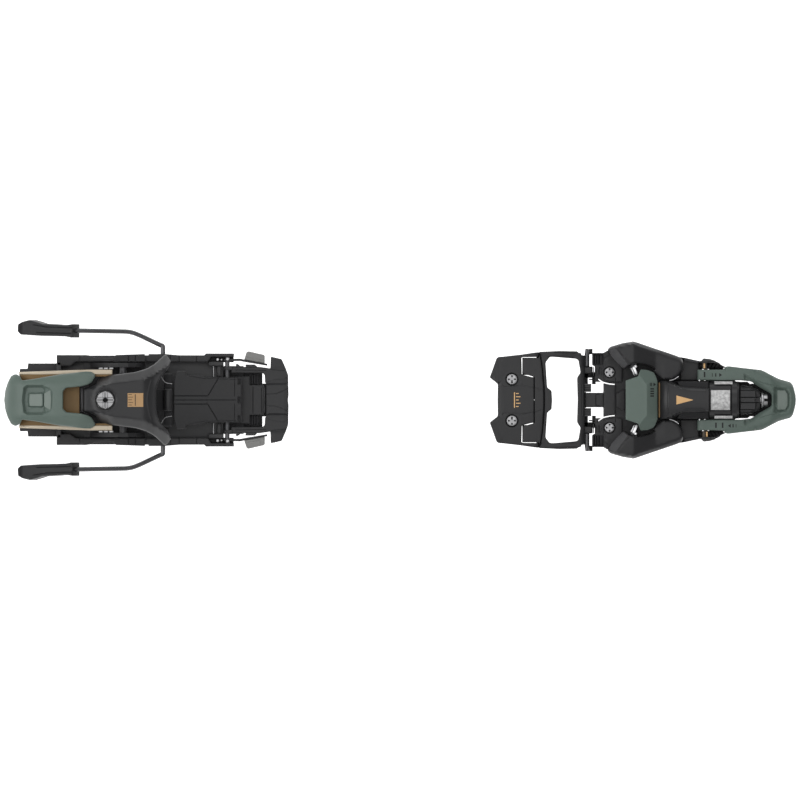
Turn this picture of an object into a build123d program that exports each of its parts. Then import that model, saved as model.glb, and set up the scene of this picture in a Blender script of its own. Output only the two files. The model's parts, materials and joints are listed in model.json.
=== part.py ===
"""Touring ski binding: a toe unit and a heel unit screwed to one ski.

X runs to the ski tip, Y to the left of the ski, Z up. The origin lies between the two front
toe screws, on the ski's top face. Heel pieces are drawn about the boot's heel stop and are
placed at HEEL_PLACE when they are written.
"""
import os
from math import cos, radians, sin, tan

from build123d import *

# Overall layout
HEEL_X = -359.0
HEEL_PLACE = Location((HEEL_X, 0, 0))

# Mounting screws
THREAD_R = 2.75
THREAD_DEPTH = 9.0
NECK_R = 2.5
SCREW_HOLE_R = 2.6
TOE_FRONT_SCREW_Y = 22.2
TOE_REAR_SCREW_X = -78.2
TOE_REAR_SCREW_Y = 16.6
HEEL_SCREW_X = (-95.0, 30.0)
HEEL_SCREW_Y = 18.0

# Toe unit
BASE_TOP = 8.0
EAR_TOP = 12.0
WING_PIVOT = (46.3, 28.0)
WING_BOTTOM = 13.0
WING_TOP = 45.0
WING_REAR_TOP = 36.5
WING_DISC_R = 12.3
WING_AXLE_R = 3.0
WING_AXLE_TOP = 34.0
PIN_PIVOT = (19.2, 25.8)
PIN_Z = 27.5
PIN_AXLE_R = 1.2
TOGGLE_PIVOT = (32.0, 42.0)
LUG_R = 3.3
TOGGLE_AXLE_R = 2.0
LEVER_PIVOT = (75.5, 25.0)
LEVER_PIN_R = 1.8
SPRING_AXIS_Z = 30.0
BARREL_R = 14.8
BARREL_BORE_R = 9.5
RELEASE_SCREW_R = 3.0
AFD_BOTTOM = 4.4
AFD_TOP = 13.0
PLATE_TOP = 14.0

# Heel unit
TRACK_TOP = 8.0
TRACK_HALF = 29.3
FLOOR_BOTTOM = 8.4
FLOOR_TOP = 12.0
WALL_TOP = 20.0
ADJUST_Z = 8.6
ADJUST_R = 2.8
HOUSING_PIVOT = (-30.0, 42.0)
HOUSING_AXLE_R = 3.0
CAP_X = -43.8
CAP_BORE_R = 7.6
HOUSING_TOP = 78.0
HEEL_LEVER_PIVOT = (-44.0, 60.0)
HEEL_LEVER_PIN_R = 2.0
BRAKE_PIVOT = (1.5, 14.0)
BRAKE_WIRE_R = 1.9
BRAKE_DROP = radians(36.0)
FRONT_AXLE = (53.0, 16.0)
FRONT_AXLE_R = 1.8

# Fits
RUNNING = 0.05

os.makedirs("parts", exist_ok=True)


def both_sides(half):
    """Close an outline given from the middle line round to the middle line again."""
    return list(half) + [(x, -y) for x, y in reversed(half) if y > 0]


def other_side(points):
    """Mirror an outline to the ski's right."""
    return [(x, -y) for x, y in reversed(points)]


def prism(points, low, high, mode=Mode.ADD):
    """Upright slab over a plan outline, between two heights."""
    with BuildSketch(Plane.XY.offset(low)) as outline:
        with BuildLine():
            Polyline(*points, close=True)
        make_face()
    extrude(outline.sketch, amount=high - low, mode=mode)


def side_prism(points, low, high, mode=Mode.ADD):
    """Slab over a side outline of X and Z, between two Y values."""
    with BuildSketch(Plane.XZ.offset(-high)) as outline:
        with BuildLine():
            Polyline(*points, close=True)
        make_face()
    extrude(outline.sketch, amount=high - low, mode=mode)


def block(x, y, z, mode=Mode.ADD):
    """Box between limits along each axis."""
    with Locations(((x[0] + x[1]) / 2, (y[0] + y[1]) / 2, (z[0] + z[1]) / 2)):
        Box(x[1] - x[0], y[1] - y[0], z[1] - z[0], mode=mode)


def rod(start, end, radius, mode=Mode.ADD):
    """Round bar from one point to another."""
    along = Vector(*end) - Vector(*start)
    with Locations(Plane(origin=start, z_dir=along)):
        Cylinder(radius, along.length, align=(Align.CENTER, Align.CENTER, Align.MIN), mode=mode)


def cross_rod(pivot, reach, radius, mode=Mode.ADD):
    """Round bar across the ski through a pivot given as X and Z."""
    rod((pivot[0], -reach, pivot[1]), (pivot[0], reach, pivot[1]), radius, mode)


def upright_rod(pivot, way, low, high, radius, mode=Mode.ADD):
    """Upright round bar at a pivot given as X and Y, on the left (way 1) or right (way -1)."""
    rod((pivot[0], way * pivot[1], low), (pivot[0], way * pivot[1], high), radius, mode)


def spring_rod(start_x, end_x, radius, mode=Mode.ADD):
    """Round bar along the axis of the toe spring."""
    rod((start_x, 0, SPRING_AXIS_Z), (end_x, 0, SPRING_AXIS_Z), radius, mode)


def cap_rod(low, high, radius, mode=Mode.ADD):
    """Upright round bar on the axis of the heel's release cap."""
    rod((CAP_X, 0, low), (CAP_X, 0, high), radius, mode)


def bevel(start, end, top, run, drop, over=0.0):
    """Slope the top edge over start-end away; the piece lies to the left of that direction."""
    along = Vector(end[0] - start[0], end[1] - start[1], 0).normalized()
    inward = Vector(-along.Y, along.X, 0)
    first = Vector(start[0], start[1], top) - along * over
    length = Vector(end[0] - start[0], end[1] - start[1], 0).length + 2 * over
    reach = 6.0
    with BuildSketch(Plane(origin=first, x_dir=inward, z_dir=-along)) as wedge:
        with BuildLine():
            Polyline(
                (-reach, reach),
                (run + reach * run / drop, reach),
                (-reach, -drop - reach * drop / run),
                close=True,
            )
        make_face()
    extrude(wedge.sketch, amount=-length, mode=Mode.SUBTRACT)


def screw(x, y, head_low, head_r):
    """Mounting screw: threaded shank in the ski, slim neck, cross-slotted head."""
    rod((x, y, -THREAD_DEPTH), (x, y, 0), THREAD_R)
    rod((x, y, 0), (x, y, head_low), NECK_R)
    rod((x, y, head_low), (x, y, head_low + 3.0), head_r)
    for size in ((4.4, 1.1), (1.1, 4.4)):
        with Locations((x, y, head_low + 2.2)):
            Box(size[0], size[1], 1.8, mode=Mode.SUBTRACT)


def screw_seat(x, y, floor, head_r):
    """Counterbored hole for a mounting screw."""
    rod((x, y, -1), (x, y, floor + 1), SCREW_HOLE_R, Mode.SUBTRACT)
    rod((x, y, floor), (x, y, floor + 12), head_r, Mode.SUBTRACT)


def coil(start, end, radius, wire_r, turns):
    """Compression spring between two points."""
    along = Vector(*end) - Vector(*start)
    with BuildLine() as path:
        Helix(along.length / turns, along.length, radius, center=start, direction=along)
    with BuildSketch(Plane(origin=path.line @ 0, z_dir=path.line % 0)) as wire:
        Circle(wire_r)
    sweep(wire.sketch, path=path.line, is_frenet=True)


# ------------------------------------------------------------------ toe unit, fixed pieces
TOE_PLAN = [
    (104, 0), (104, 12), (92, 24), (88, 29.6), (84.5, 31.2), (72, 31.2), (60, 33.8), (52, 35),
    (30, 34), (10, 34), (2, 39.5), (-2, 39.5), (-5, 37.7), (-14, 37.7), (-14, 28), (-11.8, 27),
    (-11.8, 14.5), (-5, 14.5), (-5, 5.8), (-19.5, 5.8), (-19.5, 0),
]
EAR_PLAN = [(-5, 14.5), (10, 14.5), (10, 34), (2, 39.5), (-2, 39.5), (-5, 37.7)]
SKIRT_PLAN = [(59.5, 15.2), (70, 15.2), (70, 31.6), (60, 33.8), (59.5, 33.8)]
BRACKET_SIDE = [(71.5, 7), (71.5, 27), (73.5, 30), (78, 30), (84, 20), (84.5, 7)]

with BuildPart() as toe_base:
    prism(both_sides(TOE_PLAN), 0, BASE_TOP)
    for side in (EAR_PLAN, other_side(EAR_PLAN)):
        prism(side, BASE_TOP, EAR_TOP)
    block((-4.5, 4.6), (-13.4, 13.4), (BASE_TOP, 10.5))
    prism(both_sides([(12.4, 0), (12.4, 9), (5.3, 5.3), (5.3, 0)]), BASE_TOP, 12.5)
    block((12.4, 38.6), (-14.6, 14.6), (BASE_TOP, 33))
    for side in (SKIRT_PLAN, other_side(SKIRT_PLAN)):
        prism(side, BASE_TOP, 16)
    for way in (-1, 1):
        lug = sorted((way * 9.0, way * 12.0))
        lug_x = (TOGGLE_PIVOT[0] - LUG_R, TOGGLE_PIVOT[0] + LUG_R)
        block(lug_x, lug, (33, TOGGLE_PIVOT[1]))
        rod((TOGGLE_PIVOT[0], lug[0], TOGGLE_PIVOT[1]), (TOGGLE_PIVOT[0], lug[1], TOGGLE_PIVOT[1]), LUG_R)
        upright_rod(WING_PIVOT, way, BASE_TOP, 17.6, 7.5)
        ear = sorted((way * 29.6, way * 31.2))
        side_prism(BRACKET_SIDE, ear[0], ear[1])
        for y in (16.5, 18.3):
            block((-16.5, -11.5), sorted((way * (y - 0.45), way * (y + 0.45))), (2, 7))
        screw_seat(0, way * TOE_FRONT_SCREW_Y, 8.5, 4.6)
        upright_rod(WING_PIVOT, way, 2, 20, WING_AXLE_R, Mode.SUBTRACT)
    cross_rod(TOGGLE_PIVOT, 14, TOGGLE_AXLE_R, Mode.SUBTRACT)
    cross_rod(LEVER_PIVOT, 34, LEVER_PIN_R, Mode.SUBTRACT)
toe_base.part.label = "toe_base"
export_step(toe_base.part, "parts/toe_base.step")

PLATE_PLAN = [
    (-60.6, 0), (-60.6, 18), (-70.3, 20.3), (-70.5, 34), (-57.2, 34.3), (-57.2, 38.2),
    (-60, 38), (-70, 36.5), (-85, 34.8), (-89, 34.5), (-90.5, 33.5), (-96, 18), (-90, 13.3),
    (-89.5, 12), (-89.7, 0),
]
with BuildPart() as toe_rear_plate:
    prism(both_sides(PLATE_PLAN), 0, PLATE_TOP)
    bevel((-90.5, 33.5), (-96, 18), PLATE_TOP, 4.5, 8)
    bevel((-96, -18), (-90.5, -33.5), PLATE_TOP, 4.5, 8)
    bevel((-89.6, 12), (-89.6, -12), PLATE_TOP, 3, 5)
    for way in (-1, 1):
        screw_seat(TOE_REAR_SCREW_X, way * TOE_REAR_SCREW_Y, 9.0, 5.1)
toe_rear_plate.part.label = "toe_rear_plate"
export_step(toe_rear_plate.part, "parts/toe_rear_plate.step")

with BuildPart() as toe_front_screws:
    for way in (-1, 1):
        screw(0, way * TOE_FRONT_SCREW_Y, 8.5, 4.0)
toe_front_screws.part.label = "toe_front_screws"
export_step(toe_front_screws.part, "parts/toe_front_screws.step")

with BuildPart() as toe_rear_screws:
    for way in (-1, 1):
        screw(TOE_REAR_SCREW_X, way * TOE_REAR_SCREW_Y, 9.0, 4.4)
toe_rear_screws.part.label = "toe_rear_screws"
export_step(toe_rear_screws.part, "parts/toe_rear_screws.step")

# Spring tower behind the wings: a faceted hood that runs into a round barrel
HOOD_SIDE = [(40, BASE_TOP), (40, 41), (46, 47), (79, 47), (79, BASE_TOP)]
with BuildPart() as toe_housing:
    side_prism(HOOD_SIDE, -15, 15)
    block((79, 103.2), (-BARREL_R, BARREL_R), (BASE_TOP, SPRING_AXIS_Z))
    spring_rod(79, 103.2, BARREL_R)
    bevel((82, 15), (56, 15), 47, 5.7, 17)
    bevel((56, -15), (82, -15), 47, 5.7, 17)
    spring_rod(62, 104, BARREL_BORE_R, Mode.SUBTRACT)
    block((80.5, 96), (-8, 8), (36, 50), Mode.SUBTRACT)
    for way in (-1, 1):
        upright_rod(WING_PIVOT, way, 17.4, 60, WING_DISC_R + 0.6, Mode.SUBTRACT)
        far = (LEVER_PIVOT[0], way * 16, LEVER_PIVOT[1])
        rod((LEVER_PIVOT[0], way * 11.2, LEVER_PIVOT[1]), far, LEVER_PIN_R, Mode.SUBTRACT)
toe_housing.part.label = "toe_housing"
export_step(toe_housing.part, "parts/toe_housing.step")

with BuildPart() as toe_window:
    spring_rod(80.6, 95.9, BARREL_R)
    spring_rod(80, 97, BARREL_R - 2, Mode.SUBTRACT)
    block((80.6, 95.9), (-7.9, 7.9), (38, 46), Mode.INTERSECT)
toe_window.part.label = "toe_window"
export_step(toe_window.part, "parts/toe_window.step")

with BuildPart() as toe_front_cap:
    with BuildSketch(Plane.XY.offset(SPRING_AXIS_Z)) as cap_half:
        with BuildLine():
            Polyline((103.2, 0), (103.2, 11.5), (112, 11.3), (118, 8.6), (120, 7), (120, 0), close=True)
        make_face()
    revolve(cap_half.sketch, axis=Axis((0, 0, SPRING_AXIS_Z), (1, 0, 0)))
    for y in (-2.0, 2.0):
        block((104.5, 121), (y - 0.5, y + 0.5), (39.5, 43), Mode.SUBTRACT)
    spring_rod(103, 121, RELEASE_SCREW_R + 0.1, Mode.SUBTRACT)
toe_front_cap.part.label = "toe_front_cap"
export_step(toe_front_cap.part, "parts/toe_front_cap.step")

with BuildPart() as toe_spring_seat:
    spring_rod(62, 65.5, BARREL_BORE_R - 0.1)
toe_spring_seat.part.label = "toe_spring_seat"
export_step(toe_spring_seat.part, "parts/toe_spring_seat.step")

with BuildPart() as toe_spring:
    coil((66.8, 0, SPRING_AXIS_Z), (89.6, 0, SPRING_AXIS_Z), 7.2, 1.1, 5)
toe_spring.part.label = "toe_spring"
export_step(toe_spring.part, "parts/toe_spring.step")

for way, name in ((1, "wing_axle_left"), (-1, "wing_axle_right")):
    with BuildPart() as wing_axle:
        upright_rod(WING_PIVOT, way, 2, WING_AXLE_TOP, WING_AXLE_R)
    wing_axle.part.label = name
    export_step(wing_axle.part, f"parts/{name}.step")

for way, name in ((1, "lever_pin_left"), (-1, "lever_pin_right")):
    with BuildPart() as lever_pin:
        near = (LEVER_PIVOT[0], way * 11.4, LEVER_PIVOT[1])
        rod(near, (LEVER_PIVOT[0], way * 31.2, LEVER_PIVOT[1]), LEVER_PIN_R)
    lever_pin.part.label = name
    export_step(lever_pin.part, f"parts/{name}.step")

CAP_PLAN = [(73, 31.2), (84.5, 31.2), (80, 32.9), (75, 33.3)]
with BuildPart() as pivot_cap_left:
    prism(CAP_PLAN, 19, 30)
pivot_cap_left.part.label = "pivot_cap_left"
export_step(pivot_cap_left.part, "parts/pivot_cap_left.step")

with BuildPart() as pivot_cap_right:
    prism(other_side(CAP_PLAN), 19, 30)
pivot_cap_right.part.label = "pivot_cap_right"
export_step(pivot_cap_right.part, "parts/pivot_cap_right.step")

with BuildPart() as toggle_axle:
    cross_rod(TOGGLE_PIVOT, 17, TOGGLE_AXLE_R)
toggle_axle.part.label = "toggle_axle"
export_step(toggle_axle.part, "parts/toggle_axle.step")

# ------------------------------------------------------------------ toe unit, moving pieces
BLOCK_PLAN = [
    (-52.9, 0), (-53.1, 10), (-54.3, 25), (-55.8, 36), (-56.8, 33.7), (-69.8, 33.4),
    (-69.6, 20.9), (-60, 18.4), (-60, 0),
]
FRAME_PLAN = [
    (-20, 0), (-20, 26.2), (-16.6, 26.2), (-16.6, 41), (-19.5, 41), (-20, 35.5), (-22.5, 36),
    (-23, 37.5), (-25, 38), (-26, 39), (-40, 39.3), (-56.4, 38.6), (-55, 36), (-53.4, 25),
    (-52.2, 10), (-52, 0),
]
WINDOW_PLAN = [
    (-46, 0), (-46.5, 7.5), (-50, 10), (-51.3, 30), (-48, 34.4), (-45, 34.5), (-27, 33),
    (-25, 32), (-23.3, 22), (-26, 18), (-26, 15), (-25.5, 0),
]
TAIL_PLAN = [(-50, 0), (-50, 12), (-51.5, 33), (-55, 33), (-59.8, 17), (-59.8, 0)]
with BuildPart() as boot_rest_frame:
    prism(both_sides(FRAME_PLAN), AFD_BOTTOM, AFD_TOP)
    prism(both_sides(TAIL_PLAN), AFD_BOTTOM, 7.4)
    prism(both_sides(WINDOW_PLAN), 0, 20, Mode.SUBTRACT)
    block((-20.5, -14.2), (21.5, 26.2), (AFD_BOTTOM, 10))
    block((-20.5, -14.2), (-26.2, -21.5), (AFD_BOTTOM, 10))
    block((-20.5, -14.8), (6.5, 13), (AFD_BOTTOM, 11))
    block((-20.5, -14.8), (-13, -6.5), (AFD_BOTTOM, 11))
    for way in (-1, 1):
        for rib in (8.0, 9.8, 11.6):
            low, high = sorted((way * (rib - 0.35), way * (rib + 0.35)))
            block((-19.8, -14), (low, high), (9.8, 12), Mode.SUBTRACT)
boot_rest_frame.part.label = "boot_rest_frame"
export_step(boot_rest_frame.part, "parts/boot_rest_frame.step")

with BuildPart() as boot_rest_block:
    prism(both_sides(BLOCK_PLAN), 7.4, PLATE_TOP)
boot_rest_block.part.label = "boot_rest_block"
export_step(boot_rest_block.part, "parts/boot_rest_block.step")

WING_PLAN = [
    (-2, 40), (11, 24.5), (15, 28), (20, 30), (28, 28.5), (33, 27), (36, 25), (46.3, 20),
    (50, 36.4), (19, 47), (10, 45.5), (0, 42.5),
]
WING_SIDE = [
    (-5, WING_BOTTOM), (-5, WING_TOP), (25, WING_TOP), (34.5, WING_REAR_TOP), (62, WING_REAR_TOP),
    (62, WING_BOTTOM),
]
with BuildPart() as wing_left:
    prism(WING_PLAN, WING_BOTTOM, WING_TOP)
    upright_rod(WING_PIVOT, 1, WING_BOTTOM, WING_TOP, WING_DISC_R)
    side_prism(WING_SIDE, 0, 60, Mode.INTERSECT)
    bevel((-2, 40), (11, 24.5), WING_TOP, 6, 26, 1)
    bevel((50, 36.4), (19, 47), WING_TOP, 2.5, 6, 2)
    bevel((19, 47), (0, 42.5), WING_TOP, 2.5, 7, 2)
    upright_rod(WING_PIVOT, 1, 5, 18, 13.4, Mode.SUBTRACT)
    block((16.4, 22), (27.5, 32), (17, 23.6))
    upright_rod(PIN_PIVOT, 1, 17, 23.6, 3.2)
    upright_rod(PIN_PIVOT, 1, 17, 25, PIN_AXLE_R, Mode.SUBTRACT)
    upright_rod(WING_PIVOT, 1, 10, WING_AXLE_TOP + 0.4, WING_AXLE_R + RUNNING, Mode.SUBTRACT)
wing_left.part.label = "wing_left"
export_step(wing_left.part, "parts/wing_left.step")

with BuildPart() as wing_right:
    mirror(wing_left.part, about=Plane.XZ)
wing_right.part.label = "wing_right"
export_step(wing_right.part, "parts/wing_right.step")

with BuildPart() as pin_axle_left:
    upright_rod(PIN_PIVOT, 1, 17, 30, PIN_AXLE_R)
pin_axle_left.part.label = "pin_axle_left"
export_step(pin_axle_left.part, "parts/pin_axle_left.step")

with BuildPart() as pin_axle_right:
    mirror(pin_axle_left.part, about=Plane.XZ)
pin_axle_right.part.label = "pin_axle_right"
export_step(pin_axle_right.part, "parts/pin_axle_right.step")

# Steel touring pin: an eye on the wing's small axle and a tapered nose
PIN_WAY = Vector(cos(radians(-72)), sin(radians(-72)), 0)
with BuildPart() as tech_pin_left:
    upright_rod(PIN_PIVOT, 1, 24, 30.6, 3.0)
    nose = Vector(PIN_PIVOT[0], PIN_PIVOT[1], PIN_Z)
    rod(nose, nose + PIN_WAY * 4.6, 2.1)
    with Locations(Plane(origin=nose + PIN_WAY * 4.6, z_dir=PIN_WAY)):
        Cone(2.1, 0.9, 1.8, align=(Align.CENTER, Align.CENTER, Align.MIN))
    upright_rod(PIN_PIVOT, 1, 20, 34, PIN_AXLE_R + RUNNING, Mode.SUBTRACT)
tech_pin_left.part.label = "tech_pin_left"
export_step(tech_pin_left.part, "parts/tech_pin_left.step")

with BuildPart() as tech_pin_right:
    mirror(tech_pin_left.part, about=Plane.XZ)
tech_pin_right.part.label = "tech_pin_right"
export_step(tech_pin_right.part, "parts/tech_pin_right.step")

SWITCH_PLAN = [(12.6, 0), (12.5, 15.5), (22.5, 19), (36.4, 19), (38, 15), (38, 0)]
SWITCH_EAR = [(22.5, 18.9), (36.4, 18.9), (36, 20), (35, 22), (30, 24), (24.5, 24.5)]
SWITCH_SIDE = [(12, 38), (12, 45.5), (14.5, 47.5), (29, 51), (38.2, 46), (38.2, 38)]
with BuildPart() as mode_switch:
    prism(both_sides(SWITCH_PLAN), 38, 52)
    side_prism(SWITCH_SIDE, -20, 20, Mode.INTERSECT)
    for side in (SWITCH_EAR, other_side(SWITCH_EAR)):
        prism(side, 38, 45)
    block((15, 27), (-16, 16), (37, 43), Mode.SUBTRACT)
    block((15, 36), (-8, 8), (37, 43), Mode.SUBTRACT)
    for way in (-1, 1):
        low, high = sorted((way * 8.6, way * 12.4))
        block((27.6, 40), (low, high), (37, 45.6), Mode.SUBTRACT)
    cross_rod(TOGGLE_PIVOT, 17.4, TOGGLE_AXLE_R + RUNNING, Mode.SUBTRACT)
mode_switch.part.label = "mode_switch"
export_step(mode_switch.part, "parts/mode_switch.step")

FRONT_LEVER_PLAN = [
    (148.8, 0), (147.5, 8), (146, 13), (144.5, 14.3), (140, 15.5), (135, 17), (130, 19.5),
    (123, 23.2), (121, 24), (110, 25.2), (95, 27), (93, 26.8), (90.5, 24), (70, 24), (70, 15.7),
    (105, 15.7), (113, 14.8), (120, 10), (128, 5.5), (129.5, 4), (129.5, 0),
]
FRONT_LEVER_SIDE = [
    (70, 22.5), (70, 27.5), (73, 30.5), (90, 33), (112, 33), (130, 32), (142, 31), (148.8, 27),
    (148.8, 23), (144, 20), (128, 20.5), (118, 21), (100, 19.5), (80, 19), (73, 19.5),
]
SCOOP_PLAN = [(143.7, 0), (143.5, 5), (141, 9), (133, 10.3), (131.5, 9.5), (131.5, 0)]
with BuildPart() as front_lever:
    prism(both_sides(FRONT_LEVER_PLAN), 10, 40)
    side_prism(FRONT_LEVER_SIDE, -30, 30, Mode.INTERSECT)
    prism(both_sides(SCOOP_PLAN), 27, 40, Mode.SUBTRACT)
    prism(both_sides([(142.3, 0), (142.3, 8.4), (133.6, 8.4), (133.6, 0)]), 26, 29)
    cross_rod(LEVER_PIVOT, 30, LEVER_PIN_R + RUNNING, Mode.SUBTRACT)
front_lever.part.label = "front_lever"
export_step(front_lever.part, "parts/front_lever.step")

with BuildPart() as toe_nut:
    spring_rod(91, 95.4, BARREL_BORE_R - 0.07)
    spring_rod(90, 97, RELEASE_SCREW_R + RUNNING, Mode.SUBTRACT)
toe_nut.part.label = "toe_nut"
export_step(toe_nut.part, "parts/toe_nut.step")

with BuildPart() as toe_pointer:
    block((92, 93.5), (-4, 4), (38, 41.6))
    spring_rod(91, 96, BARREL_BORE_R - 0.07, Mode.SUBTRACT)
toe_pointer.part.label = "toe_pointer"
export_step(toe_pointer.part, "parts/toe_pointer.step")

with BuildPart() as toe_release_screw:
    spring_rod(66.5, 121.2, RELEASE_SCREW_R)
    spring_rod(121, 122.5, 6.5)
    spring_rod(122.5, 126, 5.2)
    block((123, 127), (-1.2, 1.2), (20, 40), Mode.SUBTRACT)
toe_release_screw.part.label = "toe_release_screw"
export_step(toe_release_screw.part, "parts/toe_release_screw.step")

# ------------------------------------------------------------------ heel unit, track and carriage
TRACK_PLAN = [
    (45, 0), (45, TRACK_HALF), (-106.5, TRACK_HALF), (-107, 25), (-113, 25), (-113.5, 21),
    (-113.5, 0),
]
RACK_PITCH = 3.0
with BuildPart() as heel_track:
    prism(both_sides(TRACK_PLAN), 0, TRACK_TOP)
    block((-112, 40), (-6.5, 6.5), (2.5, 9), Mode.SUBTRACT)
    for tooth in range(15):
        block((-76 + RACK_PITCH * tooth, -74.6 + RACK_PITCH * tooth), (-6.5, 6.5), (2.5, 3.9))
    for x in HEEL_SCREW_X:
        for way in (-1, 1):
            screw_seat(x, way * HEEL_SCREW_Y, 4.2, 4.7)
heel_track.part.label = "heel_track"
export_step(heel_track.part.moved(HEEL_PLACE), "parts/heel_track.step")

with BuildPart() as heel_screws:
    for x in HEEL_SCREW_X:
        for way in (-1, 1):
            screw(x, way * HEEL_SCREW_Y, 4.2, 4.4)
heel_screws.part.label = "heel_screws"
export_step(heel_screws.part.moved(HEEL_PLACE), "parts/heel_screws.step")

FLOOR_PLAN = [(50, 0), (50, 31), (-83.5, 31), (-83.5, 0)]
WALL_PLAN = [
    (-83.5, 30.6), (37.5, 30.6), (40, 34.6), (58.3, 34.6), (58.3, 37.2), (36, 37.2),
    (34.5, 35.8), (15, 35.8), (3, 36.8), (-10, 36.8), (-10, 35.8), (-13, 35.8), (-13, 36.8),
    (-36, 36), (-38, 33.7), (-53, 33.9), (-57, 35.6), (-60, 36), (-83.5, 36),
]
SKIRT_HEEL = [(-83.5, 30.2), (30, 30.2), (30, 35.6), (-83.5, 35.6)]
FRONT_PLAN = [(58.3, 34.6), (58.3, 37.2), (38, 37.2), (38, 34.6)]
with BuildPart() as heel_carriage:
    prism(both_sides(FLOOR_PLAN), FLOOR_BOTTOM, FLOOR_TOP)
    for side in (1, -1):
        wall = WALL_PLAN if side > 0 else other_side(WALL_PLAN)
        skirt = SKIRT_HEEL if side > 0 else other_side(SKIRT_HEEL)
        prism(wall, FLOOR_BOTTOM, WALL_TOP)
        prism(skirt, 1, FLOOR_BOTTOM)
        block((-3, 6), sorted((side * 23.0, side * 27.0)), (FLOOR_TOP - 1, 18))
        block((38, 50), sorted((side * 27.2, side * 30.8)), (FLOOR_TOP - 1, 17))
        block((44.8, 48.0), sorted((side * 18.4, side * 27.5)), (FLOOR_TOP - 1, 15))
    block((-83.5, -80), (-30.8, 30.8), (FLOOR_BOTTOM, 20))
    block((-83.5, -80), (-6, 6), (4.2, FLOOR_TOP))
    block((-44, -40), (-6, 6), (4.2, FLOOR_TOP))
    block((-80, -44), (-3.3, 3.3), (4, 14), Mode.SUBTRACT)
    rod((-85, 0, ADJUST_Z), (-42, 0, ADJUST_Z), ADJUST_R + RUNNING, Mode.SUBTRACT)
    cross_rod(BRAKE_PIVOT, 40, BRAKE_WIRE_R + RUNNING, Mode.SUBTRACT)
    cross_rod(FRONT_AXLE, 35.8, FRONT_AXLE_R, Mode.SUBTRACT)
heel_carriage.part.label = "heel_carriage"
export_step(heel_carriage.part.moved(HEEL_PLACE), "parts/heel_carriage.step")

BLOCK_FRONT = [(83, 0), (83, 9), (82, 12), (71, 12), (71, 19), (50, 19), (50, 0)]
with BuildPart() as carriage_front_block:
    prism(both_sides(BLOCK_FRONT), 2, 11.5)
    # the rear half rides over the front end of the track when the carriage moves back
    block((49, 66), (-20, 20), (1, FLOOR_BOTTOM), Mode.SUBTRACT)
    for way in (-1, 1):
        block((70, 78), sorted((way * 12.0, way * 20.8)), (2, 9))
carriage_front_block.part.label = "carriage_front_block"
export_step(carriage_front_block.part.moved(HEEL_PLACE), "parts/carriage_front_block.step")

with BuildPart() as front_axle:
    cross_rod(FRONT_AXLE, 35.8, FRONT_AXLE_R)
front_axle.part.label = "front_axle"
export_step(front_axle.part.moved(HEEL_PLACE), "parts/front_axle.step")

with BuildPart() as adjust_screw:
    rod((-84.2, 0, ADJUST_Z), (-42.3, 0, ADJUST_Z), ADJUST_R)
    rod((-88, 0, ADJUST_Z), (-84.1, 0, ADJUST_Z), 4.3)
    block((-89, -86), (-3.2, 3.2), (ADJUST_Z - 0.6, ADJUST_Z + 0.6), Mode.SUBTRACT)
    block((-89, -86), (-0.6, 0.6), (ADJUST_Z - 3.2, ADJUST_Z + 3.2), Mode.SUBTRACT)
adjust_screw.part.label = "adjust_screw"
export_step(adjust_screw.part.moved(HEEL_PLACE), "parts/adjust_screw.step")

# ------------------------------------------------------------------ heel unit, slider and housing
UPRIGHT = [(-58, 14), (-40, 47), (-34, 49), (-26, 49), (-20, 46), (-12.5, 14)]
with BuildPart() as heel_slider:
    block((-62, -12), (-29.6, 29.6), (12.4, 16))
    block((-62, -58), (-22, 22), (12.4, 20))
    for way in (-1, 1):
        low, high = sorted((way * 26.2, way * 29.6))
        side_prism(UPRIGHT, low, high)
    cross_rod(HOUSING_PIVOT, 31, HOUSING_AXLE_R, Mode.SUBTRACT)
heel_slider.part.label = "heel_slider"
export_step(heel_slider.part.moved(HEEL_PLACE), "parts/heel_slider.step")

for way, name in ((1, "pressure_spring_left"), (-1, "pressure_spring_right")):
    with BuildPart() as pressure_spring:
        coil((-79.1, way * 14, 16.6), (-62.9, way * 14, 16.6), 2.9, 0.7, 5)
    pressure_spring.part.label = name
    export_step(pressure_spring.part.moved(HEEL_PLACE), f"parts/{name}.step")

with BuildPart() as housing_axle:
    cross_rod(HOUSING_PIVOT, 29.6, HOUSING_AXLE_R)
housing_axle.part.label = "housing_axle"
export_step(housing_axle.part.moved(HEEL_PLACE), "parts/housing_axle.step")

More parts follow.
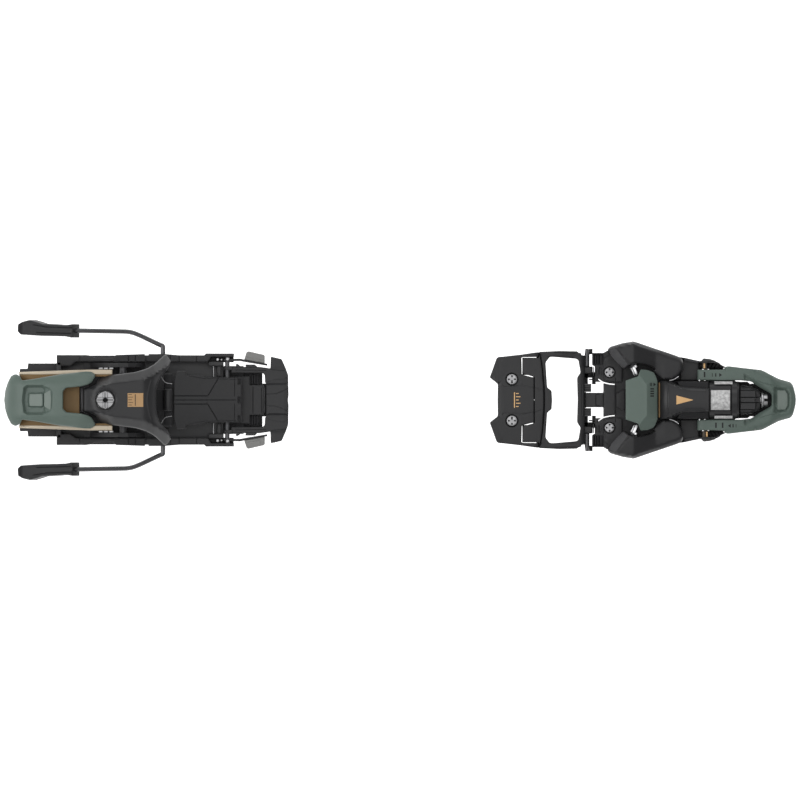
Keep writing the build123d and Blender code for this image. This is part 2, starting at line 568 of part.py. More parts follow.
HOUSING_PLAN = [
    (-3.3, 0), (-3.3, 8), (-2.5, 12), (0, 18), (7, 26), (8.5, 31), (5, 35.5), (3, 36), (0, 33),
    (-5, 28.5), (-11, 25), (-20, 22.3), (-38, 20), (-49.5, 19), (-50.2, 17.5), (-53, 12.6),
    (-56.5, 11), (-61.5, 10.3), (-61.5, 0),
]
HOUSING_SIDE = [
    (-61.4, 55), (-61.4, 64), (-57, 73), (-50, HOUSING_TOP), (-12, HOUSING_TOP), (-4, 74), (9, 74),
    (9, 64), (-8, 61), (-12, 46), (-18, 34.5), (-40, 34.5), (-52, 46),
]
SPUR_SIDE = [(-16, 36), (-12, 47), (-7, 47), (-3, 36.5), (7.6, 35.5), (7.6, 31), (-4, 31)]
with BuildPart() as heel_housing:
    prism(both_sides(HOUSING_PLAN), 30, 85)
    side_prism(HOUSING_SIDE, -40, 40, Mode.INTERSECT)
    with Locations((33.5, 0, 40)):
        Cylinder(44, 26, align=(Align.CENTER, Align.CENTER, Align.MIN), mode=Mode.SUBTRACT)
    bevel((-13, 21), (-62, 21), HOUSING_TOP, 12, 18)
    bevel((-62, -21), (-13, -21), HOUSING_TOP, 12, 18)
    side_prism(SPUR_SIDE, -9, 9)
    for way in (-1, 1):
        low, high = sorted((way * 12.0, way * 25.0))
        block((-64, -44), (low, high), (65.2, 85), Mode.SUBTRACT)
        near = (HEEL_LEVER_PIVOT[0], way * 16, HEEL_LEVER_PIVOT[1])
        far = (HEEL_LEVER_PIVOT[0], way * 26, HEEL_LEVER_PIVOT[1])
        rod(near, far, HEEL_LEVER_PIN_R, Mode.SUBTRACT)
    cap_rod(48, 90, CAP_BORE_R, Mode.SUBTRACT)
    block((-26, -13.5), (-5.5, 5.5), (77.4, 80), Mode.SUBTRACT)
    cross_rod(HOUSING_PIVOT, 30, HOUSING_AXLE_R + RUNNING, Mode.SUBTRACT)
heel_housing.part.label = "heel_housing"
export_step(heel_housing.part.moved(HEEL_PLACE), "parts/heel_housing.step")

with BuildPart() as scale_plate:
    block((-26, -13.5), (-5.5, 5.5), (77.4, HOUSING_TOP + 0.2))
scale_plate.part.label = "scale_plate"
export_step(scale_plate.part.moved(HEEL_PLACE), "parts/scale_plate.step")

with BuildPart() as heel_spring_seat:
    cap_rod(48, 51, CAP_BORE_R - 0.1)
heel_spring_seat.part.label = "heel_spring_seat"
export_step(heel_spring_seat.part.moved(HEEL_PLACE), "parts/heel_spring_seat.step")

with BuildPart() as heel_spring:
    coil((CAP_X, 0, 52.2), (CAP_X, 0, 68.6), 5.4, 1.0, 4.5)
heel_spring.part.label = "heel_spring"
export_step(heel_spring.part.moved(HEEL_PLACE), "parts/heel_spring.step")

with BuildPart() as release_cap:
    cap_rod(70, HOUSING_TOP, CAP_BORE_R - 0.07)
    cap_rod(HOUSING_TOP - 0.1, HOUSING_TOP + 1, 6.6)
    for size in ((11, 1.5), (1.5, 11)):
        with Locations((CAP_X, 0, HOUSING_TOP)):
            Box(size[0], size[1], 2.4, mode=Mode.SUBTRACT)
release_cap.part.label = "release_cap"
export_step(release_cap.part.moved(HEEL_PLACE), "parts/release_cap.step")

for way, name in ((1, "heel_lever_pin_left"), (-1, "heel_lever_pin_right")):
    with BuildPart() as heel_lever_pin:
        near = (HEEL_LEVER_PIVOT[0], way * 16, HEEL_LEVER_PIVOT[1])
        far = (HEEL_LEVER_PIVOT[0], way * 24.6, HEEL_LEVER_PIVOT[1])
        rod(near, far, HEEL_LEVER_PIN_R)
        rod(far, (HEEL_LEVER_PIVOT[0], way * 25.7, HEEL_LEVER_PIVOT[1]), 3.2)
    heel_lever_pin.part.label = name
    export_step(heel_lever_pin.part.moved(HEEL_PLACE), f"parts/{name}.step")

# ------------------------------------------------------------------ heel unit, lever
LEVER_UNDERSIDE = [(-51, 65.9), (-80, 64.2), (-100, 60.2), (-113, 56.7)]
FLANGE_SIDE = LEVER_UNDERSIDE + [
    (-113, 50), (-100, 51.5), (-80, 53.5), (-48, 53.5), (-40, 54.5), (-37.5, 59), (-38.5, 65),
]
WEB_SIDE = [
    (-64.6, 61.8), (-64.6, 65), (-80, 64.2), (-100, 60.2), (-112, 56.9), (-112, 53.5),
    (-100, 56.7), (-80, 60.7),
]
with BuildPart() as lever_core:
    for way in (-1, 1):
        low, high = sorted((way * 20.4, way * 24.2))
        side_prism(FLANGE_SIDE, low, high)
    side_prism(WEB_SIDE, -20.5, 20.5)
    cross_rod(HEEL_LEVER_PIVOT, 30, HEEL_LEVER_PIN_R + RUNNING, Mode.SUBTRACT)
lever_core.part.label = "lever_core"
export_step(lever_core.part.moved(HEEL_PLACE), "parts/lever_core.step")

HEEL_LEVER_PLAN = [
    (-77.6, 0), (-77.6, 7), (-75, 9.7), (-63, 10.8), (-57, 12), (-54, 13.5), (-51, 19),
    (-55, 22.5), (-60, 22.8), (-80, 20.5), (-100, 17), (-111, 15.7), (-112, 19), (-115, 20.7),
    (-117, 20.5), (-119, 19.5), (-122, 14), (-124, 8), (-125, 0),
]
HEEL_LEVER_SIDE = [
    (-51, 65.9), (-51, 71), (-56, 75.5), (-66, 77), (-80, 76), (-95, 72.5), (-113, 68),
    (-121, 62), (-125, 55), (-125, 50), (-120, 49.5), (-113, 56.7), (-100, 60.2), (-80, 64.2),
]
with BuildPart() as heel_lever:
    prism(both_sides(HEEL_LEVER_PLAN), 40, 90)
    side_prism(HEEL_LEVER_SIDE, -30, 30, Mode.INTERSECT)
    block((-109.5, -92), (-11, 11), (65, 90), Mode.SUBTRACT)
    block((-105.5, -93.2), (-5.5, 5.5), (64, 67))
heel_lever.part.label = "heel_lever"
export_step(heel_lever.part.moved(HEEL_PLACE), "parts/heel_lever.step")

# ------------------------------------------------------------------ heel unit, brake
PEDAL_PLAN = [
    (10.3, 0), (10.3, 15), (12.5, 23.3), (20, 23.3), (20.5, 20), (34, 19.7), (37, 18), (64.8, 18),
    (64.8, 0),
]
PEDAL_SIDE = [(10, 27.6), (10, 32), (65, 22), (65, 18)]
with BuildPart() as brake_pedal:
    prism(both_sides(PEDAL_PLAN), 10, 40)
    side_prism(PEDAL_SIDE, -30, 30, Mode.INTERSECT)
    for way in (-1, 1):
        low, high = sorted((way * 10.0, way * 17.6))
        side_prism([(49.6, 15), (56.4, 15), (56.4, 21), (49.6, 22)], low, high)
        rod((FRONT_AXLE[0], low, FRONT_AXLE[1]), (FRONT_AXLE[0], high, FRONT_AXLE[1]), 3.4)
    cross_rod(FRONT_AXLE, 20, FRONT_AXLE_R + RUNNING, Mode.SUBTRACT)
brake_pedal.part.label = "brake_pedal"
export_step(brake_pedal.part.moved(HEEL_PLACE), "parts/brake_pedal.step")


def arm_point(x, y):
    """Point of the lowered brake arm over a plan position."""
    return (x, y, BRAKE_PIVOT[1] - (BRAKE_PIVOT[0] - x) * tan(BRAKE_DROP))


WIRE_POINTS = [
    (BRAKE_PIVOT[0], 22.6, BRAKE_PIVOT[1]), (BRAKE_PIVOT[0], 43.4, BRAKE_PIVOT[1]),
    arm_point(-26.5, 54.8), arm_point(-106, 56.4),
]
with BuildPart() as brake_wire_left:
    with BuildLine() as wire_path:
        FilletPolyline(*WIRE_POINTS, radius=[6.0, 14.0])
    with BuildSketch(Plane(origin=WIRE_POINTS[0], z_dir=(0, 1, 0))):
        Circle(BRAKE_WIRE_R)
    sweep(path=wire_path.line)
brake_wire_left.part.label = "brake_wire_left"
export_step(brake_wire_left.part.moved(HEEL_PLACE), "parts/brake_wire_left.step")

with BuildPart() as brake_wire_right:
    mirror(brake_wire_left.part, about=Plane.XZ)
brake_wire_right.part.label = "brake_wire_right"
export_step(brake_wire_right.part.moved(HEEL_PLACE), "parts/brake_wire_right.step")

PAD_PLAN = [
    (-67, 50.2), (-68.5, 50), (-73, 51), (-84, 51.3), (-95, 51.5), (-111.5, 52.6), (-113.8, 55),
    (-113.6, 61), (-110, 63), (-104, 64.4), (-98, 62.6), (-94, 61.2), (-84, 60.8), (-75, 60),
    (-67, 61),
]
ARM_PLANE = Plane(
    origin=(BRAKE_PIVOT[0], 0, BRAKE_PIVOT[1]),
    x_dir=(-cos(BRAKE_DROP), 0, -sin(BRAKE_DROP)),
    z_dir=(sin(BRAKE_DROP), 0, -cos(BRAKE_DROP)),
)
with BuildPart() as brake_pad_left:
    with BuildSketch(ARM_PLANE):
        with BuildLine():
            Polyline(*[((BRAKE_PIVOT[0] - x) / cos(BRAKE_DROP), y) for x, y in PAD_PLAN], close=True)
        make_face()
    extrude(amount=4.8, both=True)
    add(brake_wire_left.part, mode=Mode.SUBTRACT)
brake_pad_left.part.label = "brake_pad_left"
export_step(brake_pad_left.part.moved(HEEL_PLACE), "parts/brake_pad_left.step")

with BuildPart() as brake_pad_right:
    mirror(brake_pad_left.part, about=Plane.XZ)
brake_pad_right.part.label = "brake_pad_right"
export_step(brake_pad_right.part.moved(HEEL_PLACE), "parts/brake_pad_right.step")

LEAF_PLAN = [
    (50.4, 31.2), (63, 31.6), (70, 30.3), (85, 27.7), (85, 28.9), (70, 31.6), (63, 32.9),
    (50.4, 32.5),
]
with BuildPart() as lock_leaf_left:
    prism(LEAF_PLAN, 13.4, 18.6)
    cross_rod(FRONT_AXLE, 40, FRONT_AXLE_R + RUNNING, Mode.SUBTRACT)
lock_leaf_left.part.label = "lock_leaf_left"
export_step(lock_leaf_left.part.moved(HEEL_PLACE), "parts/lock_leaf_left.step")

with BuildPart() as lock_leaf_right:
    mirror(lock_leaf_left.part, about=Plane.XZ)
lock_leaf_right.part.label = "lock_leaf_right"
export_step(lock_leaf_right.part.moved(HEEL_PLACE), "parts/lock_leaf_right.step")

TAB_PLAN = [(66.5, 32.3), (70, 31.65), (83, 29.3), (83, 35.5), (82, 36.3), (70, 39), (68.5, 38.5)]
with BuildPart() as lock_tab_left:
    prism(TAB_PLAN, 13.4, 18.6)
lock_tab_left.part.label = "lock_tab_left"
export_step(lock_tab_left.part.moved(HEEL_PLACE), "parts/lock_tab_left.step")

with BuildPart() as lock_tab_right:
    mirror(lock_tab_left.part, about=Plane.XZ)
lock_tab_right.part.label = "lock_tab_right"
export_step(lock_tab_right.part.moved(HEEL_PLACE), "parts/lock_tab_right.step")

# ------------------------------------------------------------------ heel unit, climbing aid
AID_PLAN = [
    (84, 0), (84, 13.5), (83.2, 14), (83, 20), (81.5, 21.5), (56, 21.5), (56, 26.5), (79, 26.5),
    (87.5, 25.3), (87.8, 34.7), (96.5, 32.8), (99.5, 26), (101.7, 20), (102, 4), (101.5, 0),
]
HOOK_PLANS = (
    [(60, 26.4), (60, 28.8), (61.5, 28.8), (64.5, 26.4)],
    [(68, 26.4), (67.4, 28.4), (75, 28.4), (77.4, 26.4)],
)
with BuildPart() as climbing_aid:
    prism(both_sides(AID_PLAN), 12, 20)
    for way in (-1, 1):
        block((50, 57), sorted((way * 24.0, way * 26.5)), (12.6, 19.4))
        for hook in HOOK_PLANS:
            prism(hook if way > 0 else other_side(hook), 13, 18)
    cross_rod(FRONT_AXLE, 40, FRONT_AXLE_R + RUNNING, Mode.SUBTRACT)
climbing_aid.part.label = "climbing_aid"
export_step(climbing_aid.part.moved(HEEL_PLACE), "parts/climbing_aid.step")
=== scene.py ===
import json
import math

import bmesh
import bpy
import numpy as np
from mathutils import Matrix, Vector
from mathutils.geometry import delaunay_2d_cdt


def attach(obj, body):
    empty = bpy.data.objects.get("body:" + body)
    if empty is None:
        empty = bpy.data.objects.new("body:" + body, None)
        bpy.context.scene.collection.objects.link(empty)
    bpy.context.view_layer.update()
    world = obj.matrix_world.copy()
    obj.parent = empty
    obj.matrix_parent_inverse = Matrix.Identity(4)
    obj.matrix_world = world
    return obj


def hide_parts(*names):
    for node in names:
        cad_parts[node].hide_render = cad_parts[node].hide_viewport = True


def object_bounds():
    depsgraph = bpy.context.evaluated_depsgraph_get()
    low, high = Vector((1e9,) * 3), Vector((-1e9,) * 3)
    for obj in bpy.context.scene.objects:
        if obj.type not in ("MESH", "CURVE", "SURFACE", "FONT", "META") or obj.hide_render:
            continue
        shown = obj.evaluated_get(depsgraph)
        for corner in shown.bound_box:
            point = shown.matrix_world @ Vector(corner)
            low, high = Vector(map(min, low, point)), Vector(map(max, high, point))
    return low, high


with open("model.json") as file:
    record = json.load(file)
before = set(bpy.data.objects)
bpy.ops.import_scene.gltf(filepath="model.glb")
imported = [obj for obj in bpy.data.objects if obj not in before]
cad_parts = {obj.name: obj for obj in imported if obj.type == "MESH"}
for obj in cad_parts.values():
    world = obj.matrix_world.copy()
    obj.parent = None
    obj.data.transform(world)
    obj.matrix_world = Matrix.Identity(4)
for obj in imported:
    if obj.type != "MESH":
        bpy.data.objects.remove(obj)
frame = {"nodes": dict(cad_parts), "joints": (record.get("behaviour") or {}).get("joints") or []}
cad_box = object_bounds()

# Lengths below are millimetres. The toe unit is drawn about its front screws, the heel unit
# about the boot's heel stop, which lies FRONT_AXLE_X behind the axle of the climbing aid.
MM = 0.001
FRONT_AXLE_X = 53.0
FRONT_AXLE_Z = 16
JOINTS = {joint["name"]: joint for joint in frame["joints"]}
TOE = 0.0
SIDES = ((1, "left"), (-1, "right"))
HEEL = JOINTS["climbing_aid_flip"]["pos_m"][0] / MM - FRONT_AXLE_X


# ------------------------------------------------------------------ plane geometry
def ease(t):
    """Smooth step from 0 to 1."""
    t = np.clip(t, 0.0, 1.0)
    return t * t * (3.0 - 2.0 * t)


def whole(half):
    """Close an outline given from the middle line round to the middle line again."""
    return list(half) + [(x, -y) for x, y in reversed(half) if y > 0]


def arc(centre, radius, start, end, count=10):
    """Points along a circle between two angles in degrees."""
    angles = [math.radians(start + (end - start) * i / count) for i in range(count + 1)]
    return [(centre[0] + radius * math.cos(a), centre[1] + radius * math.sin(a)) for a in angles]


def rounded(points, radius, count=4):
    """Round every corner of a closed outline, by less where its sides are short."""
    result = []
    for i, corner in enumerate(points):
        here = Vector(corner)
        back = Vector(points[i - 1]) - here
        ahead = Vector(points[(i + 1) % len(points)]) - here
        reach = min(radius, 0.45 * back.length, 0.45 * ahead.length)
        first = here + back.normalized() * reach
        last = here + ahead.normalized() * reach
        for k in range(count + 1):
            t = k / count
            point = first * (1 - t) ** 2 + here * 2 * t * (1 - t) + last * t ** 2
            result.append((point.x, point.y))
    return result


def resample(points, step, closed=True):
    """Points along an outline, no further apart than step, its corners among them."""
    ends = points[1:] + points[:1] if closed else points[1:]
    result = []
    for a, b in zip(points, ends):
        count = max(1, math.ceil(math.dist(a, b) / step))
        for k in range(count):
            result.append((a[0] + (b[0] - a[0]) * k / count, a[1] + (b[1] - a[1]) * k / count))
    if not closed:
        result.append(tuple(points[-1]))
    return result


def distance(x, y, points, closed=True):
    """Distance from each point to a polyline."""
    ends = points[1:] + points[:1] if closed else points[1:]
    nearest = np.full(np.shape(x), 1e9)
    for (ax, ay), (bx, by) in zip(points, ends):
        run_x, run_y = bx - ax, by - ay
        share = ((x - ax) * run_x + (y - ay) * run_y) / max(run_x ** 2 + run_y ** 2, 1e-9)
        share = np.clip(share, 0, 1)
        nearest = np.minimum(nearest, np.hypot(x - ax - share * run_x, y - ay - share * run_y))
    return nearest


def within(x, y, points):
    """Whether each point lies inside a closed outline."""
    odd = np.zeros(np.shape(x), bool)
    for (ax, ay), (bx, by) in zip(points, points[1:] + points[:1]):
        if ay != by:
            crosses = (ay > y) != (by > y)
            odd ^= crosses & (x < (bx - ax) * (y - ay) / (by - ay) + ax)
    return odd


def fall(start, end, run, drop):
    """Facet along the line start-end, sloping down to it from run millimetres on its left."""
    along = (Vector(end) - Vector(start)).normalized()

    def amount(x, y):
        inside = (y - start[1]) * along.x - (x - start[0]) * along.y
        return drop * np.clip(1 - inside / run, 0, 3)

    return amount


def profile(points, soft=1.0):
    """Height along X through the given points, with corners softened over soft millimetres."""
    xs, zs = zip(*sorted(points))

    def height(x, y):
        return sum(np.interp(x + k * soft / 2, xs, zs) for k in (-2, -1, 0, 1, 2)) / 5

    return height


# ------------------------------------------------------------------ mesh making
def in_scene(name, data):
    """New object in the scene."""
    made = bpy.data.objects.new(name, data)
    bpy.context.scene.collection.objects.link(made)
    return made


def new_object(name, vertices, faces):
    """Object from vertices in millimetres, cleaned of doubles and with its faces turned outward."""
    mesh = bpy.data.meshes.new(name)
    mesh.from_pydata([tuple(v) for v in vertices], [], faces)
    clean = bmesh.new()
    clean.from_mesh(mesh)
    bmesh.ops.remove_doubles(clean, verts=clean.verts, dist=1e-5)
    bmesh.ops.dissolve_degenerate(clean, edges=clean.edges, dist=1e-5)
    bmesh.ops.recalc_face_normals(clean, faces=clean.faces)
    clean.to_mesh(mesh)
    clean.free()
    return in_scene(name, mesh)


def settle(made):
    """Apply the modifiers of an object to its mesh."""
    made.data = bpy.data.meshes.new_from_object(
        made.evaluated_get(bpy.context.evaluated_depsgraph_get()),
    )
    made.modifiers.clear()


def shade(made, angle=32):
    """Smooth shading with sharp edges where faces meet steeply."""
    made.data.shade_smooth()
    made.data.set_sharp_from_angle(angle=math.radians(angle))


def soften(made, width, segments=3, angle=25):
    """Round the edges of an object."""
    modifier = made.modifiers.new("edge", "BEVEL")
    modifier.width = width
    modifier.segments = segments
    modifier.limit_method = "ANGLE"
    modifier.angle_limit = math.radians(angle)
    modifier.miter_outer = "MITER_ARC"
    settle(made)
    shade(made)


def cut(made, cutter):
    """Take one object away from another, and delete the tool."""
    modifier = made.modifiers.new("cut", "BOOLEAN")
    modifier.object = cutter
    modifier.solver = "EXACT"
    settle(made)
    bpy.data.objects.remove(cutter)


def hand_in(made, body, finish, unit=TOE, side=1, stands_for=(), place=None):
    """Put a piece in its unit, on its body and in its finish."""
    if place is not None:
        made.data.transform(place)
    if side < 0:
        made.data.transform(Matrix.Diagonal((1, -1, 1, 1)))
        made.data.flip_normals()
    made.data.transform(Matrix.Translation((unit, 0, 0)))
    made.data.transform(Matrix.Scale(MM, 4))
    made.data.materials.clear()
    made.data.materials.append(finish)
    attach(made, body)
    if stands_for:
        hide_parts(*stands_for)
    return made


def spread(points, least=0.22):
    """Drop points that crowd an earlier one."""
    taken, kept = {}, []
    for point in points:
        cell = (int(point[0] // least), int(point[1] // least))
        near = (
            other
            for i in (-1, 0, 1) for j in (-1, 0, 1) for other in taken.get(
                (cell[0] + i, cell[1] + j), (),
            )
        )
        if all(math.dist(point, other) >= least for other in near):
            taken.setdefault(cell, []).append(point)
            kept.append(point)
    return kept


def beside(points, offsets, closed=True):
    """Points on both sides of a polyline, at the given offsets to its left."""
    result = []
    count = len(points)
    for i, here in enumerate(points):
        before = points[i - 1] if closed or i > 0 else here
        after = points[(i + 1) % count] if closed or i < count - 1 else here
        along = Vector((after[0] - before[0], after[1] - before[1])).normalized()
        result += [(here[0] - along.y * s, here[1] + along.x * s) for s in offsets]
    return result


def sculpt(name, outline, top, bottom, edge=1.0, step=2.0, holes=(), lines=(), pockets=()):
    """Moulded piece over a plan outline: its top follows a height function with a rounded rim,
    grooves (points, half width, depth) and pockets (outline, depth, wall width)."""
    top = top if callable(top) else (lambda x, y, level=top: np.full(np.shape(x), float(level)))
    loops = [resample(list(loop), step) for loop in (outline, *holes)]
    edges, fixed = [], []
    for loop in loops:
        first = len(fixed)
        fixed += loop
        edges += [(first + i, first + (i + 1) % len(loop)) for i in range(len(loop))]
    wanted = []
    for points, half, _ in lines:
        dense = resample(list(points), step / 2, closed=False)
        wanted += beside(dense, (-half, -half / 2, 0, half / 2, half), closed=False)
    for points, _, wall in pockets:
        wanted += beside(resample(list(points), step / 2), (-wall / 2, -wall / 6, wall / 6, wall / 2))
    for loop in loops:
        wanted += beside(loop, [way * edge * s for way in (-1, 1) for s in (0.08, 0.3, 0.62, 1.05)])
    low, high = np.min(fixed, 0), np.max(fixed, 0)
    columns = np.arange(low[0], high[0], step)
    rows = np.arange(low[1], high[1], step)
    wanted += [(x, y) for x in columns for y in rows]
    wanted = np.array(wanted)
    keep = within(wanted[:, 0], wanted[:, 1], loops[0])
    for loop in loops:
        keep &= distance(wanted[:, 0], wanted[:, 1], loop) > 0.05 * edge + 0.02
    for loop in loops[1:]:
        keep &= ~within(wanted[:, 0], wanted[:, 1], loop)
    points = fixed + spread([tuple(p) for p in wanted[keep]])
    flat, _, faces, *_ = delaunay_2d_cdt([Vector(p) for p in points], edges, [], 0, 1e-5)
    x, y = np.array([p.x for p in flat]), np.array([p.y for p in flat])
    middle = np.array([[(x[f].mean(), y[f].mean()) for f in (np.array(face),)][0] for face in faces])
    solid = within(middle[:, 0], middle[:, 1], loops[0])
    for loop in loops[1:]:
        solid &= ~within(middle[:, 0], middle[:, 1], loop)
    faces = [face for face, inside in zip(faces, solid) if inside]
    z = top(x, y)
    for line, half, depth in lines:
        z = z - depth * (1 - ease(distance(x, y, list(line), closed=False) / half))
    for pocket, depth, wall in pockets:
        inward = distance(x, y, list(pocket)) * np.where(within(x, y, list(pocket)), 1, -1)
        z = z - depth * ease(inward / wall + 0.5)
    from_rim = np.min([distance(x, y, loop) for loop in loops], 0)
    short = edge - np.minimum(from_rim, edge)
    z = z - (edge - np.sqrt(np.maximum(edge ** 2 - short ** 2, 0)))
    under = bottom(x, y) if callable(bottom) else np.full(len(x), float(bottom))
    under = np.minimum(under, z - 0.15)
    count = len(x)
    vertices = list(zip(x, y, z)) + list(zip(x, y, under))
    used = {}
    for face in faces:
        for a, b in zip(face, face[1:] + face[:1]):
            used[(a, b)] = True
    rim = [(a, b) for a, b in used if (b, a) not in used]
    walls = [(b, a, a + count, b + count) for a, b in rim]
    lower = [tuple(i + count for i in reversed(face)) for face in faces]
    made = new_object(name, vertices, [tuple(f) for f in faces] + lower + walls)
    shade(made)
    return made


def slab(name, points, low, high, axis="z", edge=0.5):
    """Prism with rounded edges over an outline in plan (axis z), side view (y) or end view (x)."""
    turn = {
        "z": lambda u, v, w: (u, v, w), "y": lambda u, v, w: (u, w, v),
        "x": lambda u, v, w: (w, u, v),
    }
    count = len(points)
    vertices = [turn[axis](u, v, w) for w in (low, high) for u, v in points]
    faces = [tuple(range(count)), tuple(range(count, 2 * count))]
    faces += [(i, (i + 1) % count, count + (i + 1) % count, count + i) for i in range(count)]
    made = new_object(name, vertices, faces)
    if edge:
        soften(made, edge)
    return made


def box(name, x, y, z, edge=0.4):
    """Block with rounded edges between limits along each axis."""
    return slab(name, [(x[0], y[0]), (x[1], y[0]), (x[1], y[1]), (x[0], y[1])], z[0], z[1], "z", edge)


def turned(name, shape, origin, axis="z", segments=48):
    """Lathe-turned piece from (along, radius) pairs, starting and ending on its axis."""
    rings = []
    for along, radius in shape:
        for k in range(segments):
            a = 2 * math.pi * k / segments
            u, v = radius * math.cos(a), radius * math.sin(a)
            place = {"x": (along, u, v), "y": (u, along, v), "z": (u, v, along)}[axis]
            rings.append(tuple(o + p for o, p in zip(origin, place)))
    faces = []
    for i in range(len(shape) - 1):
        for k in range(segments):
            n = (k + 1) % segments
            faces.append(
                (i * segments + k, i * segments + n, (i + 1) * segments + n, (i + 1) * segments + k),
            )
    made = new_object(name, rings, faces)
    shade(made)
    return made


def wire(name, points, radius):
    """Round wire along a smooth line through control points."""
    line = bpy.data.curves.new(name, "CURVE")
    line.dimensions = "3D"
    line.bevel_depth = radius
    line.bevel_resolution = 5
    line.resolution_u = 16
    line.use_fill_caps = True
    spline = line.splines.new("NURBS")
    spline.points.add(len(points) - 1)
    for target, point in zip(spline.points, points):
        target.co = (*point, 1)
    spline.order_u = 3
    spline.use_endpoint_u = True
    holder = in_scene(name, line)
    mesh = bpy.data.meshes.new_from_object(
        holder.evaluated_get(bpy.context.evaluated_depsgraph_get()),
    )
    bpy.data.objects.remove(holder)
    made = in_scene(name, mesh)
    shade(made)
    return made


# ------------------------------------------------------------------ finishes
def node(tree, kind, **values):
    """Shader node with its named inputs set."""
    made = tree.nodes.new("ShaderNode" + kind)
    for name, value in values.items():
        made.inputs[name.replace("_", " ")].default_value = value
    return made


def blended(tree, share, low, high):
    """Colour between two, each of them a plain colour or another node's output."""
    mix = tree.nodes.new("ShaderNodeMix")
    mix.data_type = "RGBA"
    tree.links.new(share, mix.inputs[0])
    for socket, colour in ((mix.inputs[6], low), (mix.inputs[7], high)):
        if isinstance(colour, list):
            socket.default_value = (*colour, 1)
        else:
            tree.links.new(colour, socket)
    return mix.outputs[2]


def finish_of(slot, kind, colour, roughness, metallic=0.0, grain=0.25, bump=0.25, patches=0.18,
              streak=(1, 1, 1), edge_light=0.35, patch_size=14.3):
    """Procedural finish: fine grain, uneven tone and roughness, and lighter edges that are partly wear
    and partly painted highlight.
    grain and patch_size are in millimetres; streak stretches the grain along an axis."""
    finish = bpy.data.materials.new(f"{slot}_{kind}")
    finish["slot"] = slot
    finish.use_nodes = True
    tree = finish.node_tree
    link = tree.links.new
    shader = tree.nodes["Principled BSDF"].inputs
    shader["Metallic"].default_value = metallic
    shader["Specular IOR Level"].default_value = 0.22 if metallic < 0.3 else 0.5
    place = node(tree, "TexCoord").outputs["Object"]
    stretch = node(tree, "Mapping", Scale=streak)
    fine = node(tree, "TexNoise", Scale=1 / (grain * MM), Detail=3)
    broad = node(tree, "TexNoise", Scale=1 / (patch_size * MM), Detail=5)
    height = node(tree, "Bump", Strength=bump, Distance=0.08 * MM)
    link(place, stretch.inputs["Vector"])
    link(stretch.outputs["Vector"], fine.inputs["Vector"])
    link(place, broad.inputs["Vector"])
    link(fine.outputs["Fac"], height.inputs["Height"])
    link(height.outputs["Normal"], shader["Normal"])
    tone = blended(
        tree, broad.outputs["Fac"], [c * (1 - patches) for c in colour],
        [c * (1 + patches) for c in colour],
    )
    # Pointiness picks out convex edges; the lighter colour there is partly edge wear and partly painted
    # highlight on the bevels.
    highlight_and_wear_mask = node(tree, "MapRange", From_Min=0.53, From_Max=0.68, To_Max=edge_light)
    link(node(tree, "NewGeometry").outputs["Pointiness"], highlight_and_wear_mask.inputs["Value"])
    highlight_and_wear = [min(1, c * 1.8 + 0.02) for c in colour]
    link(blended(tree, highlight_and_wear_mask.outputs["Result"], tone, highlight_and_wear), shader["Base Color"])
    gloss = node(tree, "MapRange", To_Min=roughness - 0.06, To_Max=roughness + 0.1)
    link(broad.outputs["Fac"], gloss.inputs["Value"])
    link(gloss.outputs["Result"], shader["Roughness"])
    return finish


ALONG_X = (0.04, 1, 1)
ALONG_Y = (1, 0.04, 1)
BLACK = finish_of("black_plastic", "grained", (0.019, 0.019, 0.020), 0.42)
# Darker copy of the black plastic: painted shade in gaps, slots, recesses and under other parts, and the
# ink of printed marks.
SHADE_AND_INK_BLACK = finish_of("black_plastic", "deep", (0.005, 0.005, 0.006), 0.5, edge_light=0.2)
# Lighter copy of the black plastic: painted highlight on lit facets, rims and ribs.
HIGHLIGHT_BLACK = finish_of("black_plastic", "pale", (0.040, 0.040, 0.042), 0.45)
GLOSS = finish_of("gloss_black", "satin", (0.015, 0.015, 0.016), 0.32, bump=0.14)
GREEN = finish_of("green_plastic", "satin", (0.076, 0.101, 0.088), 0.40, bump=0.16, patches=0.08)
GREY = finish_of("grey_plastic", "satin", (0.165, 0.165, 0.16), 0.5, patches=0.08)
STEEL = finish_of("steel", "brushed", (0.25, 0.25, 0.255), 0.34, 1.0, 0.3, 0.12, 0.1, ALONG_Y)
DARK_STEEL = finish_of("black_steel", "coated", (0.045, 0.045, 0.048), 0.34, 0.4, 0.4, 0.1)
COATED = finish_of("black_steel", "matt", (0.014, 0.014, 0.015), 0.45, 0.1, 0.4, 0.1)
GLOSS_STEEL = finish_of("black_steel", "glossy", (0.055, 0.055, 0.058), 0.22, 0.6, 0.4, 0.06)
BRONZE = finish_of("bronze", "satin", (0.115, 0.070, 0.028), 0.45, 0.2, 0.3, 0.15, 0.12, ALONG_X)
# Lighter copy of the bronze: painted highlight on the tops of the lever core's flanges.
BRONZE_HIGHLIGHT = finish_of("bronze", "light", (0.34, 0.29, 0.22), 0.38, 0.4, 0.3, 0.15, 0.12, ALONG_X)
BRIGHT = finish_of("steel", "polished", (0.62, 0.62, 0.63), 0.3, 1.0, 0.3, 0.08, 0.1)
